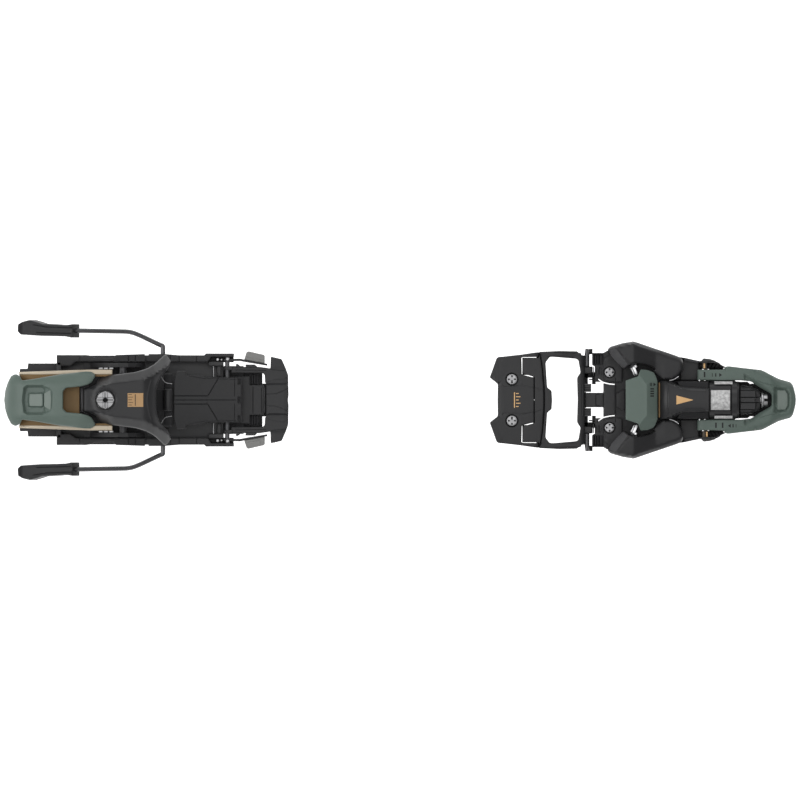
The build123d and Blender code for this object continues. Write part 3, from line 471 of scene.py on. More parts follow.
# Lighter copy of the green plastic: painted highlight on the lit pads of the levers.
GREEN_LIT = finish_of("green_plastic", "highlight_and_wear", (0.125, 0.150, 0.135), 0.42, bump=0.12, patches=0.06)
GREY_DARK = finish_of("grey_plastic", "dark", (0.045, 0.045, 0.045), 0.45, patches=0.08)
GOLD_DULL = finish_of("gold", "tarnished", (0.040, 0.030, 0.020), 0.45, 0.3)
GOLD = finish_of("gold", "satin", (0.44, 0.27, 0.12), 0.42, 0.4, 0.2, 0.12, 0.1)
MOTTLED = finish_of(
    "clear_plastic", "mottled", (0.36, 0.36, 0.36), 0.42, 0.25, 1.5, 1.0, 0.9, patch_size=2.2,
)
GOLD_PLATE = finish_of("gold", "plate", (0.27, 0.165, 0.075), 0.45, 0.4, 0.2, 0.12, 0.1)
KEPT_NODES = {
    STEEL: (
        "toe_spring_seat", "toe_spring", "wing_axle_left", "wing_axle_right", "toggle_axle",
        "pin_axle_left", "pin_axle_right", "toe_nut", "adjust_screw", "pressure_spring_left",
        "pressure_spring_right", "heel_spring_seat", "heel_spring", "heel_screws",
    ),
    GOLD: ("toe_pointer",), GOLD_DULL: ("lever_pin_left", "lever_pin_right"),
    DARK_STEEL: ("front_axle", "housing_axle", "heel_lever_pin_left", "heel_lever_pin_right"),
    COATED: ("heel_slider",), BLACK: ("heel_track",),
}
for kept_finish, kept in KEPT_NODES.items():
    for node in kept:
        for material_slot in frame["nodes"][node].material_slots:
            material_slot.material = kept_finish


# ------------------------------------------------------------------ stage
def build_stage():
    """Pale floor under the lowest point, soft overhead light, camera straight above."""
    scene = bpy.context.scene
    floor_z = cad_box[0].z - 4 * MM
    middle_x = (cad_box[0].x + cad_box[1].x) / 2
    reach = 6.0
    corners = ((-reach, -reach), (reach, -reach), (reach, reach), (-reach, reach))
    mesh = bpy.data.meshes.new("floor")
    mesh.from_pydata([(middle_x + x, y, floor_z) for x, y in corners], [], [(0, 1, 2, 3)])
    pale = bpy.data.materials.new("pale_floor")
    pale.use_nodes = True
    paint = pale.node_tree.nodes["Principled BSDF"].inputs
    paint["Base Color"].default_value = (0.93, 0.93, 0.93, 1)
    paint["Roughness"].default_value = 0.9
    paint["Emission Color"].default_value = (1, 1, 1, 1)
    paint["Emission Strength"].default_value = 0.55
    mesh.materials.append(pale)
    in_scene("floor", mesh)

    scene.world = bpy.data.worlds.new("studio")
    scene.world.use_nodes = True
    sky = scene.world.node_tree.nodes["Background"].inputs
    sky["Color"].default_value = (1, 1, 1, 1)
    sky["Strength"].default_value = 0.47

    for name, place, size, power in (
        ("overhead", (middle_x, 0.15, 1.9), 1.7, 15),
        ("rear", (middle_x - 1.5, 0.1, 1.2), 1.2, 17),
        ("back", (middle_x + 0.2, 1.6, 1.1), 0.9, 9),
        ("front", (middle_x - 0.3, -1.6, 1.2), 0.9, 6),
    ):
        lamp = bpy.data.lights.new(name, "AREA")
        lamp.shape = "SQUARE"
        lamp.size = size
        lamp.energy = power
        holder = in_scene(name, lamp)
        holder.location = place
        aim = Vector((middle_x, 0, 0)) - Vector(place)
        holder.rotation_euler = aim.to_track_quat("-Z", "Y").to_euler()

    camera = bpy.data.cameras.new("camera")
    camera.lens = 1000
    camera.sensor_width = 36
    camera.clip_end = 50
    viewer = in_scene("camera", camera)
    view_width = 640 * MM
    view_level = 20 * MM
    view_height = view_level + view_width * camera.lens / camera.sensor_width
    view_middle = -167.8 * MM
    viewer.location = (view_middle, 0, view_height)
    scene.camera = viewer
    scene.view_settings.view_transform = "Standard"


build_stage()


# ------------------------------------------------------------------ shared details
def bolt(name, x, y, head_low, head_r, body, stands_for=()):
    """Binding screw: ridged thread below the base, domed head with a cross recess."""
    ridge = ((0, 2.1), (0.7, 2.75), (0.95, 2.75), (1.6, 2.1))
    top = head_low + 3.0
    shape = [(-9.0, 0), (-9.0, 1.2)] + [(-8.0 + 1.9 * k + z, r) for k in range(4) for z, r in ridge]
    shape += [(0.0, 2.3), (head_low, 2.4), (head_low, head_r), (top - 0.7, head_r)]
    shape += [(top - 0.2, head_r - 0.4), (top, head_r - 1.0), (top, 0)]
    made = turned(name, shape, (x, y, 0))
    for u, v in ((2.6, 0.65), (0.65, 2.6)):
        cut(made, box("recess", (x - u, x + u), (y - v, y + v), (top - 1.8, top + 1), 0))
    for u, v in arc((x, y), 2.45, 0, 270, 3):
        hollow = [(-1, 0), (-1, 0.75), (1.5, 0.85), (1.5, 0)]
        cut(made, turned("hollow", hollow, (u, v, top - 1.2), segments=12))
    for k in range(4):
        a = math.radians(45 + 90 * k)
        along, across = Vector((math.cos(a), math.sin(a))), Vector((-math.sin(a), math.cos(a)))
        corners = [
            along * r + across * s
            for r, s in ((0.6, 0.22), (2.1, 0.22), (2.1, -0.22), (0.6, -0.22))
        ]
        cut(made, slab("tick", [(x + c.x, y + c.y) for c in corners], top - 0.35, top + 1, "z", 0))
    shade(made)
    hand_in(made, body, STEEL, stands_for=stands_for)


def print_and_highlight_layer(name, outline, surface, body, finish, unit=TOE, side=1, rise=0.07):
    """Thin layer that follows the surface below it, for printed marks and for patches of painted
    highlight.
    """
    made = sculpt(
        name, outline, lambda x, y: surface(x, y) + rise, lambda x, y: surface(x, y) - 0.5, edge=0.05,
        step=0.8,
    )
    return hand_in(made, body, finish, unit, side)


def arrow(x, y, size, way=1):
    """Small triangle that points along X."""
    return [(x, y - size), (x + way * size * 1.5, y), (x, y + size)]


def bar(x, y, width, height):
    """Small upright bar."""
    return [(x, y - height), (x + width, y - height), (x + width, y + height), (x, y + height)]


# ------------------------------------------------------------------ toe: boot rest
REST_TOP = 14.0
# a thin dark sheet on the ski is painted shade in the gaps, and stays clear of the boot rest when that
# drops
GAP_SHADE_SHEET = (0.02, 0.34)
REAR_PLATE = [
    (-60.6, 0), (-60.6, 18), (-70.3, 20.3), (-70.6, 33.6), (-69.8, 34.3), (-57.2, 34.4),
    (-57.2, 38.2), (-60, 38), (-70, 36.5), (-85, 34.8), (-89, 34.5), (-90.5, 33.5), (-96, 18),
    (-90, 13.3), (-89.5, 12), (-89.7, 0),
]


def rest_surface(x, y):
    """Crowned boot rest: a level middle between two gently falling sides."""
    across = np.abs(y)
    return REST_TOP - 0.075 * np.maximum(across - 10, 0) - 0.012 * np.maximum(-64 - x, 0)


def rear_plate_top(x, y):
    across = np.abs(y)
    level = rest_surface(x, y)
    level = level - fall((-90.5, 33.5), (-96, 18), 4.6, 3.2)(x, across) * (across > 12)
    level = level - fall((-89.6, 12), (-89.6, -12), 3.2, 2.2)(x, y) * (across < 13.5)
    return level


def build_rear_plate():
    creases = [
        ([(-86, way * 12), (-84, way * 10.4), (-70, way * 11.6), (-61.5, way * 9.9)], 0.55, 0.22)
        for way in (1, -1)
    ]
    hand_in(sculpt(
        "toe_rear_plate_shell", rounded(whole(REAR_PLATE), 0.9), rear_plate_top, 0.0, 0.7, 2.2,
        lines=creases + [([(-86.3, 11), (-86.3, -11)], 0.4, 0.2)],
        pockets=[(arc((-78.2, way * 16.6), 5.1, 0, 345, 23), 2.6, 0.5) for way in (1, -1)],
    ), "base", BLACK, stands_for=("toe_rear_plate",))
    gap_shades = (
        ("", (-61.2, -52.0), (0.2, 20.6)), ("_wide", (-69.9, -52.6), (20.0, 33.9)),
        ("_corner", (-58.6, -54.2), (32.0, 38.2)),
    )
    for way, end in SIDES:
        bolt(
            f"toe_rear_screw_{end}", -78.2, way * 16.6, 9.6, 4.4, "base",
            ("toe_rear_screws",) if way > 0 else (),
        )
        # the dark latch block is painted shade in the notch; its teeth stay plain black
        latch = box(f"rest_latch_{end}", (-59.2, -57.3), (35.0, 38.0), (9.5, 13.2), 0.3)
        hand_in(latch, "base", SHADE_AND_INK_BLACK, side=way)
        for k in range(4):
            y = (35.3 + 0.7 * k, 35.6 + 0.7 * k)
            tooth = box(f"rest_latch_{end}_tooth_{k}", (-59.4, -58.8), y, (10, 13.5), 0.08)
            hand_in(tooth, "base", BLACK, side=way)
        # dark sheets under the gaps around the rest: painted shade
        for part, x, y in gap_shades:
            hand_in(box(f"rest_gap_shade{part}_{end}", x, y, GAP_SHADE_SHEET, 0.1), "base", SHADE_AND_INK_BLACK, side=way)
    print_and_highlight_layer("rest_scale_line", bar(-76.6, 0, 0.8, 6.2), rear_plate_top, "base", GOLD)
    for k in range(5):
        mark = bar(-75.0, -5.2 + 2.6 * k, 2.2 + 1.4 * (k % 2), 0.35)
        print_and_highlight_layer(f"rest_scale_mark_{k}", mark, rear_plate_top, "base", GOLD)


REST_BLOCK = [
    (-52.9, 0), (-53.1, 10), (-54.3, 25), (-55.8, 36), (-56.8, 33.7), (-69.0, 33.3), (-69.7, 32.6),
    (-69.4, 21.6), (-68.7, 20.8), (-60, 18.4), (-60, 0),
]
REST_FRAME = [
    (-20, 0), (-20, 26.2), (-16.6, 26.2), (-16.6, 41), (-19.5, 41), (-20, 35.5), (-22.5, 36),
    (-23, 37.5), (-25, 38), (-26, 39), (-40, 39.3), (-56.4, 38.6), (-55, 36), (-53.4, 25),
    (-52.2, 10), (-52, 0),
]
REST_WINDOW = [
    (-46, 0), (-46.5, 7.5), (-50, 10), (-51.3, 30), (-48, 34.4), (-45, 34.5), (-27, 33), (-25, 32),
    (-23.3, 22), (-26, 18), (-26, 15), (-25.5, 0),
]


def rest_frame_top(x, y):
    """Arms with a raised middle line, and a cross bar that falls to the front."""
    across = np.abs(y)
    arm = 13.0 - 0.35 * np.abs(across - 36.6) * (across > 34)
    return arm - 0.32 * np.maximum(x + 23.5, 0) - 2.4 * ease((x + 21) / 2.0) * (across > 26)


def build_boot_rest():
    hand_in(sculpt(
        "boot_rest_block_shell", rounded(whole(REST_BLOCK), 0.6), rest_surface, 7.4, 0.5, 2.2,
        lines=[([(-59.7, way * 9.8), (-53.4, way * 8)], 0.5, 0.2) for way in (1, -1)],
    ), "boot_rest", BLACK, stands_for=("boot_rest_block",))
    grooves = [([(-44, way * 37.9), (-27, way * 37.6)], 0.5, 0.5) for way in (1, -1)]
    grooves += [([(-22.3, 12), (-22.3, -12)], 0.5, 0.35)]
    hand_in(sculpt(
        "boot_rest_frame_shell", rounded(whole(REST_FRAME), 0.5), rest_frame_top, 4.4, 0.8, 2.0,
        holes=[rounded(whole(REST_WINDOW), 1.2)], lines=grooves,
    ), "boot_rest", BLACK, stands_for=("boot_rest_frame",))
    # the dark tail below shows in the gap between block and frame as painted shade
    tail = whole([(-50.2, 0), (-50.2, 12), (-51.6, 33), (-55, 33), (-59.7, 17), (-59.7, 0)])
    hand_in(slab("boot_rest_tail", tail, 4.4, 7.3, "z", 0.3), "boot_rest", SHADE_AND_INK_BLACK)
    for way, end in SIDES:
        hand_in(box(
            f"boot_rest_link_{end}", (-20.4, -14.2), (21.5, 26.2), (4.4, 10), 0.7,
        ), "boot_rest", BLACK, side=way)
        hand_in(box(
            f"boot_rest_ribs_{end}", (-20.4, -14.8), (6.5, 13.0), (4.4, 9.8), 0.4,
        ), "boot_rest", BLACK, side=way)
        # the outermost rib is lighter: painted highlight
        for k in range(4):
            y = way * (7.1 + 1.75 * k)
            hand_in(box(
                f"boot_rest_rib_{end}_{k}", (-20.2, -14.9), (y - 0.5, y + 0.5), (9.4, 11), 0.3,
            ), "boot_rest", HIGHLIGHT_BLACK if k == 3 else BLACK)
        hand_in(turned(
            f"boot_rest_pin_{end}",
            [(0, 0), (0, 1.2), (0.3, 1.5), (13.5, 1.5), (13.8, 1.2), (13.8, 0)], (-18.0, 27.0, 9.3),
            "y", 24,
        ), "boot_rest", DARK_STEEL, side=way)


# ------------------------------------------------------------------ toe: base
TOE_PLAN = [
    (104, 0), (104, 12), (92, 24), (88, 29.6), (84.5, 31.2), (72, 31.2), (60, 33.8), (52, 35),
    (30, 34), (10, 34), (2, 39.5), (-2, 39.5), (-5, 37.7), (-14, 37.7), (-14, 28), (-11.8, 27),
    (-11.8, 14.5), (-5, 14.5), (-5, 5.8), (-19.5, 5.8), (-19.5, 0),
]
EAR_PLAN = [(-5, 15.6), (4.4, 14.2), (10, 14.5), (10.4, 34), (2, 39.5), (-2, 39.5), (-5, 37.7)]
SLIT = [
    (-8.9, 17.1), (-5.1, 14.5), (0, 13.3), (4.1, 12.9), (4.1, 12.1), (0, 12.4), (-5.6, 13.6),
    (-9.2, 16.4),
]


def ear_top(x, y):
    """Screw ear: level, with a lower step towards the boot side."""
    return 12.0 - 1.2 * ease((-3.2 - x) / 1.2) - 0.06 * np.maximum(y - 30, 0)


def build_toe_base():
    slits = [SLIT, [(x, -y) for x, y in reversed(SLIT)]]
    hand_in(sculpt(
        "toe_base_plate", rounded(whole(TOE_PLAN), 0.8), 8.0, 0.0, 0.7, 3.0, holes=slits,
    ), "base", BLACK, stands_for=("toe_base",))
    hand_in(sculpt(
        "toe_base_middle",
        rounded(whole([(4.6, 0), (4.6, 12.0), (0, 12.3), (-4.6, 13.2), (-4.6, 0)]), 0.5),
        lambda x, y: 10.5 - 0.02 * np.abs(y), 7.5, 0.5, 2.0,
    ), "base", BLACK)
    hand_in(sculpt(
        "toe_base_wedge", rounded(whole([(12.4, 0), (12.4, 9), (5.5, 5.4), (5.5, 0)]), 0.5),
        lambda x, y: 12.5 - 0.1 * np.abs(y), 7.5, 0.6, 1.8,
    ), "base", BLACK)
    hand_in(sculpt(
        "toe_base_tongue", rounded(whole([(-5, 0), (-5, 5.6), (-19.3, 5.6), (-19.3, 0)]), 0.5), 9.0,
        7.5, 0.4, 1.8, lines=[([(-8.2, 4.6), (-11, 4.6), (-11, -4.6), (-8.2, -4.6)], 0.35, 0.5)],
    ), "base", BLACK)
    # dark sheet under the tongue: painted shade in the gap
    hand_in(box("toe_tongue_gap_shade", (-20.4, -18.8), (-6.4, 6.4), GAP_SHADE_SHEET, 0.1), "base", SHADE_AND_INK_BLACK)
    for way, end in SIDES:
        hand_in(sculpt(
            f"toe_ear_{end}", rounded(EAR_PLAN, 0.8), ear_top, 7.5, 0.8, 1.8,
            lines=[([(4.9, 14.6), (4.9, 17.5)], 0.4, 0.4), ([(-4.6, 33), (2.0, 37.5)], 0.4, 0.25)],
            pockets=[(arc((0, 22.2), 4.65, 0, 345, 23), 2.6, 0.4)],
        ), "base", BLACK, side=way)
        bolt(
            f"toe_front_screw_{end}", 0, way * 22.2, 8.6, 4.1, "base",
            stands_for=("toe_front_screws",) if way > 0 else (),
        )
        hand_in(sculpt(
            f"toe_stop_{end}", rounded([(-14, 28.2), (-5.3, 28.2), (-5.3, 37.6), (-14, 37.6)], 0.6),
            lambda x, y: 9.6 + 0.8 * ease((-11.6 - x) / 0.8) + 0.8 * ease((y - 36) / 0.6), 7.5, 0.35,
            1.2, lines=[([(-8.4, 29), (-8.4, 36)], 0.5, 1.2), ([(-10.2, 29), (-10.2, 36)], 0.5, 0.8)],
        ), "base", SHADE_AND_INK_BLACK, side=way)
        # every other rib is darker: painted shade between the ribs
        for k in range(5):
            hand_in(box(
                f"toe_latch_{end}_{k}", (-13.4 + 1.5 * k, -12.6 + 1.5 * k),
                (19.4 + 1.2 * (k % 2), 26.4 - 0.9 * (k % 3)), (7.6, 9.2 + 0.5 * (k % 2)), 0.2,
            ), "base", SHADE_AND_INK_BLACK if k % 2 else BLACK, side=way)
        # dark sheets in the gaps beside the tongue: painted shade
        gap_shade_boxes = (
            ((-20.0, -17.3), (12.2, 21.4)), ((-14.0, -11.0), (12.6, 21.4)),
            ((-20.0, -11.0), (17.8, 22.4)), ((-17.8, -16.1), (22, 38.6)),
            ((-16.4, -13.6), (36.6, 41.0)), ((-16.2, -13.6), (22, 26.8)),
        )
        for k, (x, y) in enumerate(gap_shade_boxes):
            hand_in(box(f"toe_gap_shade_{end}_{k}", x, y, GAP_SHADE_SHEET, 0.1), "base", SHADE_AND_INK_BLACK, side=way)
        # the hooks are dark: painted shade in the open gap
        for k, y in enumerate((16.5, 18.3)):
            hand_in(box(
                f"toe_hook_{end}_{k}", (-16.5, -11.5), (y - 0.5, y + 0.5), (2, 7), 0.25,
            ), "base", SHADE_AND_INK_BLACK, side=way)
        boss_top = 17.6
        hand_in(turned(
            f"wing_boss_{end}",
            [(8, 0), (8, 8.2), (9, 7.5), (boss_top - 0.5, 7.5), (boss_top, 7), (boss_top, 0)],
            (46.3, 28, 0),
        ), "base", BLACK, side=way)
        hand_in(sculpt(
            f"toe_skirt_{end}",
            rounded([(52.5, 15.4), (71.5, 15.4), (71.5, 31.2), (60, 33.7), (52.8, 34.8)], 0.6),
            lambda x, y: 13.2 + 3.0 * ease(
                (y - 32.4 + 0.2 * (x - 60)) / 1.4,
            ) - 1.5 * ease((57.5 - x) / 2),
            7.5, 0.5, 1.6,
        ), "base", GLOSS, side=way)
        # the rail along the rim is lighter: painted highlight on the lit edge
        hand_in(sculpt(
            f"toe_rail_{end}", rounded([(59.3, 31.4), (71.2, 29.3), (71.4, 31.0), (60, 33.5)], 0.4),
            16.0, 12.0, 0.4, 1.2,
        ), "base", HIGHLIGHT_BLACK, side=way)
        hand_in(sculpt(
            f"lever_bracket_block_{end}",
            rounded([(72, 25.3), (90.5, 25.3), (93, 26.3), (86, 29.6), (72, 29.6)], 0.5),
            lambda x, y: 16.6 - 0.12 * (x - 72), 7.5, 0.5, 1.4,
            lines=[([(78 + 3 * k, 26), (79.5 + 3 * k, 29)], 0.45, 0.7) for k in range(4)],
        ), "base", SHADE_AND_INK_BLACK, side=way)
        hand_in(slab(
            f"lever_bracket_{end}",
            [(71.5, 7), (71.5, 27), (73.5, 30), (78, 30), (84, 20), (84.5, 7)], 29.6, 31.2, "y", 0.3,
        ), "base", BLACK, side=way)
        lug = [(25.6, 30), (28.7, 40.5)] + arc((32, 42), 3.2, 180, -40, 14) + [
            (31.0, 38.6), (30.2, 35.5), (29.2, 30),
        ]
        hand_in(slab(f"switch_lug_{end}", lug, 9.0, 12.0, "y", 0.3), "base", BLACK, side=way)
    # the tower under the switch is dark: painted shade
    tower = [(12.4, 7), (12.4, 24), (17, 33), (38.6, 33), (38.6, 7)]
    hand_in(slab("switch_tower", tower, -14.6, 14.6, "y", 0.9), "base", SHADE_AND_INK_BLACK)
    hand_in(sculpt(
        "switch_stop_strip", rounded(whole([(40.0, 0), (40.0, 13.6), (38.9, 14.2), (38.9, 0)]), 0.2),
        40.6, 20, 0.2, 1.5,
    ), "base", BRONZE)


# ------------------------------------------------------------------ toe: wings and touring pins
WING_PIVOT = (46.3, 28.0)
WING_DISC_R = 12.3
PIN_AXLE = (19.2, 25.8)
WING_PLAN = [(-2, 40), (11, 24.5), (15, 28), (20, 30), (28, 28.5), (33, 27), (36.2, 24.5)]
WING_PLAN += arc(WING_PIVOT, WING_DISC_R, 200, 388, 24)
WING_PLAN += [(51.5, 36.0), (33, 42.2), (19, 47), (10, 45.5), (0, 42.5)]


def wing_top(x, y):
    """Tall faceted nose that runs down to a low round hub at the pivot."""
    level = profile([(-5, 43.6), (19, 45.2), (36, 37.2), (60, 35.2)], 0.8)(x, y)
    level = level - 0.12 * np.maximum(y - 31, 0) - 0.16 * np.maximum(31 - y, 0) * ease((44 - x) / 8)
    nose = fall((-2.6, 40.7), (10.4, 25.2), 6.6, 9.0)(x, y)
    outer = fall((51, 36.0), (20, 46.8), 3.2, 3.6)(x, y) + fall((19, 47.1), (0, 42.6), 2.2, 3.4)(x, y)
    hub = 1.3 * ease((np.hypot(x - WING_PIVOT[0], y - WING_PIVOT[1]) - 10.6) / 1.8) * (x > 44) * (y < 33)
    return level - nose - outer - hub


def wing_foot(x, y):
    """Underside: the hub stands on the boss, the rest hangs just above the base."""
    return np.where(np.hypot(x - WING_PIVOT[0], y - WING_PIVOT[1]) < 13.4, 18.0, 13.0)


def build_wings():
    creases = [
        [(-1.6, 39.6), (2.4, 32.2), (10.4, 25.4)], [(4.6, 41.6), (8.5, 36), (14.6, 29)],
        [(17.5, 46.2), (27, 42.9), (40, 39.2), (49, 36)], [(22, 44), (30, 36), (36, 30)],
    ]
    # lighter patches on the nose band and the outer strip: painted highlight on facets that face the
    # light
    nose_highlight_plan = [(-0.6, 39.4), (1.1, 35.1), (6.7, 28.9), (11.0, 25.6), (14.2, 28.4), (4.3, 41.6)]
    rim_highlight_plan = [(16.8, 45.6), (19.0, 46.3), (40.5, 39.0), (39.5, 37.9), (26, 41.9)]
    for way, end in SIDES:
        body = f"wing_{end}"
        hand_in(sculpt(
            f"wing_shell_{end}", rounded(WING_PLAN, 1.4), wing_top, wing_foot, 1.1, 1.5,
            lines=[(crease, 0.5, 0.06) for crease in creases],
        ), body, GLOSS, side=way, stands_for=(f"wing_{end}",))
        print_and_highlight_layer(f"wing_nose_highlight_{end}", nose_highlight_plan, wing_top, body, HIGHLIGHT_BLACK, side=way, rise=0.04)
        print_and_highlight_layer(f"wing_edge_highlight_{end}", rim_highlight_plan, wing_top, body, HIGHLIGHT_BLACK, side=way, rise=0.04)
        rim = arc(WING_PIVOT, 12.45, -84, -46, 9)
        hand_in(wire(
            f"wing_hub_clip_{end}", [(x, y, 34.0) for x, y in rim], 0.38,
        ), body, BRIGHT, side=way)
        hand_in(turned(
            f"pin_post_{end}", [(17, 0), (17, 3.2), (23.2, 3.2), (23.6, 2.8), (23.6, 0)],
            (*PIN_AXLE, 0),
        ), body, DARK_STEEL, side=way)
        hand_in(box(
            f"pin_arm_{end}", (16.4, 22), (27.5, 32), (17, 23.6), 0.5,
        ), body, DARK_STEEL, side=way)
        eye_top = 30.6
        hand_in(turned(
            f"touring_pin_eye_{end}",
            [
                (24, 1.25), (24, 2.7), (24.4, 3.0), (eye_top - 2.4, 3.0), (eye_top - 2, 2.5),
                (eye_top - 2, 1.25),
            ],
            (*PIN_AXLE, 0), "z", 32,
        ), f"touring_pin_{end}", DARK_STEEL, side=way, stands_for=(f"tech_pin_{end}",))
        tilt = Matrix.Translation((*PIN_AXLE, 27.5)) @ Matrix.Rotation(math.radians(-72), 4, "Z")
        hand_in(turned(
            f"touring_pin_nose_{end}",
            [
                (0, 0), (0, 2.4), (3.0, 2.4), (3.3, 2.1), (4.6, 2.1), (4.9, 1.9), (6.2, 1.1),
                (6.4, 0.8), (6.4, 0),
            ],
            (0, 0, 0), "x", 32,
        ), f"touring_pin_{end}", STEEL, side=way, place=tilt)
        slant = Matrix.Translation((19.0, 25.9, 27.5)) @ Matrix.Rotation(math.radians(-66), 4, "Z")
        bars = (
            ((-1.2, 6.8), (-0.9, 1.3), 3.1), ((-0.8, 6.0), (-2.3, -1.3), 2.3),
            ((-1.6, 0.9), (0.9, 3.0), 3.1),
        )
        for k, (along, across, high) in enumerate(bars):
            hand_in(box(
                f"touring_pin_bar_{end}_{k}", along, across, (0.4, high), 0.45,
            ), f"touring_pin_{end}", BRIGHT, side=way, place=slant)


# ------------------------------------------------------------------ toe: mode switch
SWITCH_PLAN = [
    (12.6, 0), (12.5, 15.5), (22.5, 19), (24.5, 24.5), (30, 24), (35, 22), (36.4, 19.6), (38, 15),
    (38, 0),
]


def switch_top(x, y):
    """Broad face that rises to a ridge, with a falling front border and falling ears."""
    across = np.abs(y)
    face = 46.9 + 0.22 * (x - 13)
    border = 50.7 - 0.8 * (x - 29.2)
    ear = 50.2 - 0.8 * ((x - 29) * 0.678 + (across - 13) * 0.734)
    return np.minimum(np.minimum(face, border), np.maximum(ear, 40.5)) - 0.03 * across


def switch_foot(x, y):
    """Hollow underside, open over the lugs of the axle."""
    across = np.abs(y)
    lug = (across > 8.5) & (across < 12.5) & (x > 27.5) & (x < 36.5)
    return np.where(lug, 45.6, np.where((across < 16) & (x > 15) & (x < 34), 43.0, 38.0))


def build_mode_switch():
    ridges = [[(22.5, 19), (29.1, 12.9), (29.3, 0)], [(22.5, -19), (29.1, -12.9), (29.3, 0)]]
    hand_in(sculpt(
        "mode_switch_shell", rounded(whole(SWITCH_PLAN), 0.8), switch_top, switch_foot, 0.8, 1.5,
        lines=[(ridge, 0.4, -0.08) for ridge in ridges],
    ), "mode_switch", GREEN, stands_for=("mode_switch",))
    marks = [arrow(34.7, 12.4, 1.4)]
    marks += [bar(31.8 + 1.1 * k, 12.4, 0.6, 1.35) for k in range(2)]
    marks += [bar(32.2, 8.9 - 1.9 * k, 2.9, 0.5) for k in range(4)]
    for k, mark in enumerate(marks):
        print_and_highlight_layer(f"switch_mark_{k}", mark, switch_top, "mode_switch", SHADE_AND_INK_BLACK)


# ------------------------------------------------------------------ toe: housing
BARREL_R = 14.8
BARREL_Z = 30.0
WINDOW = [(80.6, -7.9), (95.9, -7.9), (95.9, 7.9), (80.6, 7.9)]


def hood_half(x):
    """Half width of the hood's crown, pinched towards the barrel."""
    return np.interp(x, [40, 45, 49, 53, 57.5, 62, 79], [15, 14.2, 12.8, 10.8, 9.0, 8.6, 8.4])


def housing_top(x, y):
    """Hood with a pinched crown, then the upper half of the spring barrel."""
    across = np.abs(y)
    crown = profile([(38, 39.5), (41.5, 43.5), (46, 46.4), (56, 47.0), (79, 46.6)], 2.0)(x, y)
    crown = crown - 0.012 * across ** 2
    past = np.maximum(across - hood_half(x), 0)
    hood = crown - 3.4 * past * ease(past / 1.6) - 0.9 * past
    ring = 0.5 * ease((x - 96.9) / 0.5) - 0.9 * ease((x - 102.2) / 0.5)
    radius = BARREL_R - 0.5 + ring
    barrel = BARREL_Z + np.sqrt(np.maximum(radius ** 2 - across ** 2, 0.0)) * 0.98
    return np.where(x < 79.2, hood, np.maximum(barrel, BARREL_Z - 1))


def build_toe_housing():
    hub_gap = arc(WING_PIVOT, WING_DISC_R + 0.7, 213, 262, 10)
    half = [(40, 0), (40, 15)] + [(x, y) for x, y in hub_gap if y < 15.1] + [(53.5, 15), (79, 15)]
    half += [(79.3, BARREL_R), (103.2, BARREL_R), (103.2, 0)]
    hand_in(sculpt(
        "toe_housing_shell", whole(half), housing_top, 8.0, 0.35, 1.5,
        lines=[
            ([(79.2, -14.4), (79.2, 14.4)], 0.55, 0.9), ([(97.0, -13), (97.0, 13)], 0.5, 0.6),
            ([(46.6, -11), (46.1, -5), (46.1, 5), (46.6, 11)], 0.4, 0.25),
        ],
        pockets=[(WINDOW, 2.2, 0.3)],
    ), "base", GLOSS, stands_for=("toe_housing",))
    hand_in(sculpt(
        "toe_scale_window", WINDOW, lambda x, y: BARREL_Z + np.sqrt((BARREL_R - 0.2) ** 2 - y ** 2),
        41.0, 0.25, 1.0,
    ), "base", MOTTLED, stands_for=("toe_window",))
    mark = whole([(53, 0), (53, 3.6), (66, 0.2), (66.4, 0)])
    print_and_highlight_layer("hood_mark", mark, housing_top, "base", GOLD)
    for way, end in SIDES:
        hand_in(sculpt(
            f"barrel_strip_{end}", [(83.6, 12.6), (98.0, 12.6), (98.0, 14.9), (83.6, 14.9)],
            lambda x, y: 38.6 - 1.2 * (y - 12.6), 30.0, 0.2, 1.2,
        ), "base", MOTTLED, side=way)
        cap_plan = [(73.0, 31.2), (84.6, 30.6), (84.4, 31.4), (80, 32.8), (75, 33.3)]
        hand_in(sculpt(
            f"pivot_cap_shell_{end}", rounded(cap_plan, 0.5), lambda x, y: 30 - 0.25 * (x - 76), 19,
            0.6, 1.2,
        ), "base", GREY_DARK, side=way, stands_for=(f"pivot_cap_{end}",))
        # dark shoulders beside the pinched hood: painted shade on the sides
        hand_in(sculpt(
            f"hood_shoulder_{end}", [(58.5, 9.9), (79, 9.7), (79, 14.9), (53.6, 14.9), (55, 12.0)],
            lambda x, y: 37.5 - 0.25 * (y - 10), 20, 0.6, 1.5,
        ), "base", SHADE_AND_INK_BLACK, side=way)
    build_front_cap()


def cap_top(x, y):
    """Adjuster housing: flat-topped block between two rounded shoulders, tapering to the front."""
    across = np.abs(y)
    radius = np.interp(x, [103, 104.5, 112, 118, 120], [9.5, 11.4, 11.2, 8.6, 7.0])
    shoulder = BARREL_Z + np.sqrt(np.maximum(radius ** 2 - across ** 2, 0.01))
    block = np.where((across < 7.5) & (x > 104) & (x < 116.2), 41.3, 0)
    tongue = np.where((across < 1.9) & (x > 104), 40.6 - 0.12 * (x - 104), 0)
    return np.maximum(np.maximum(shoulder, block), tongue)


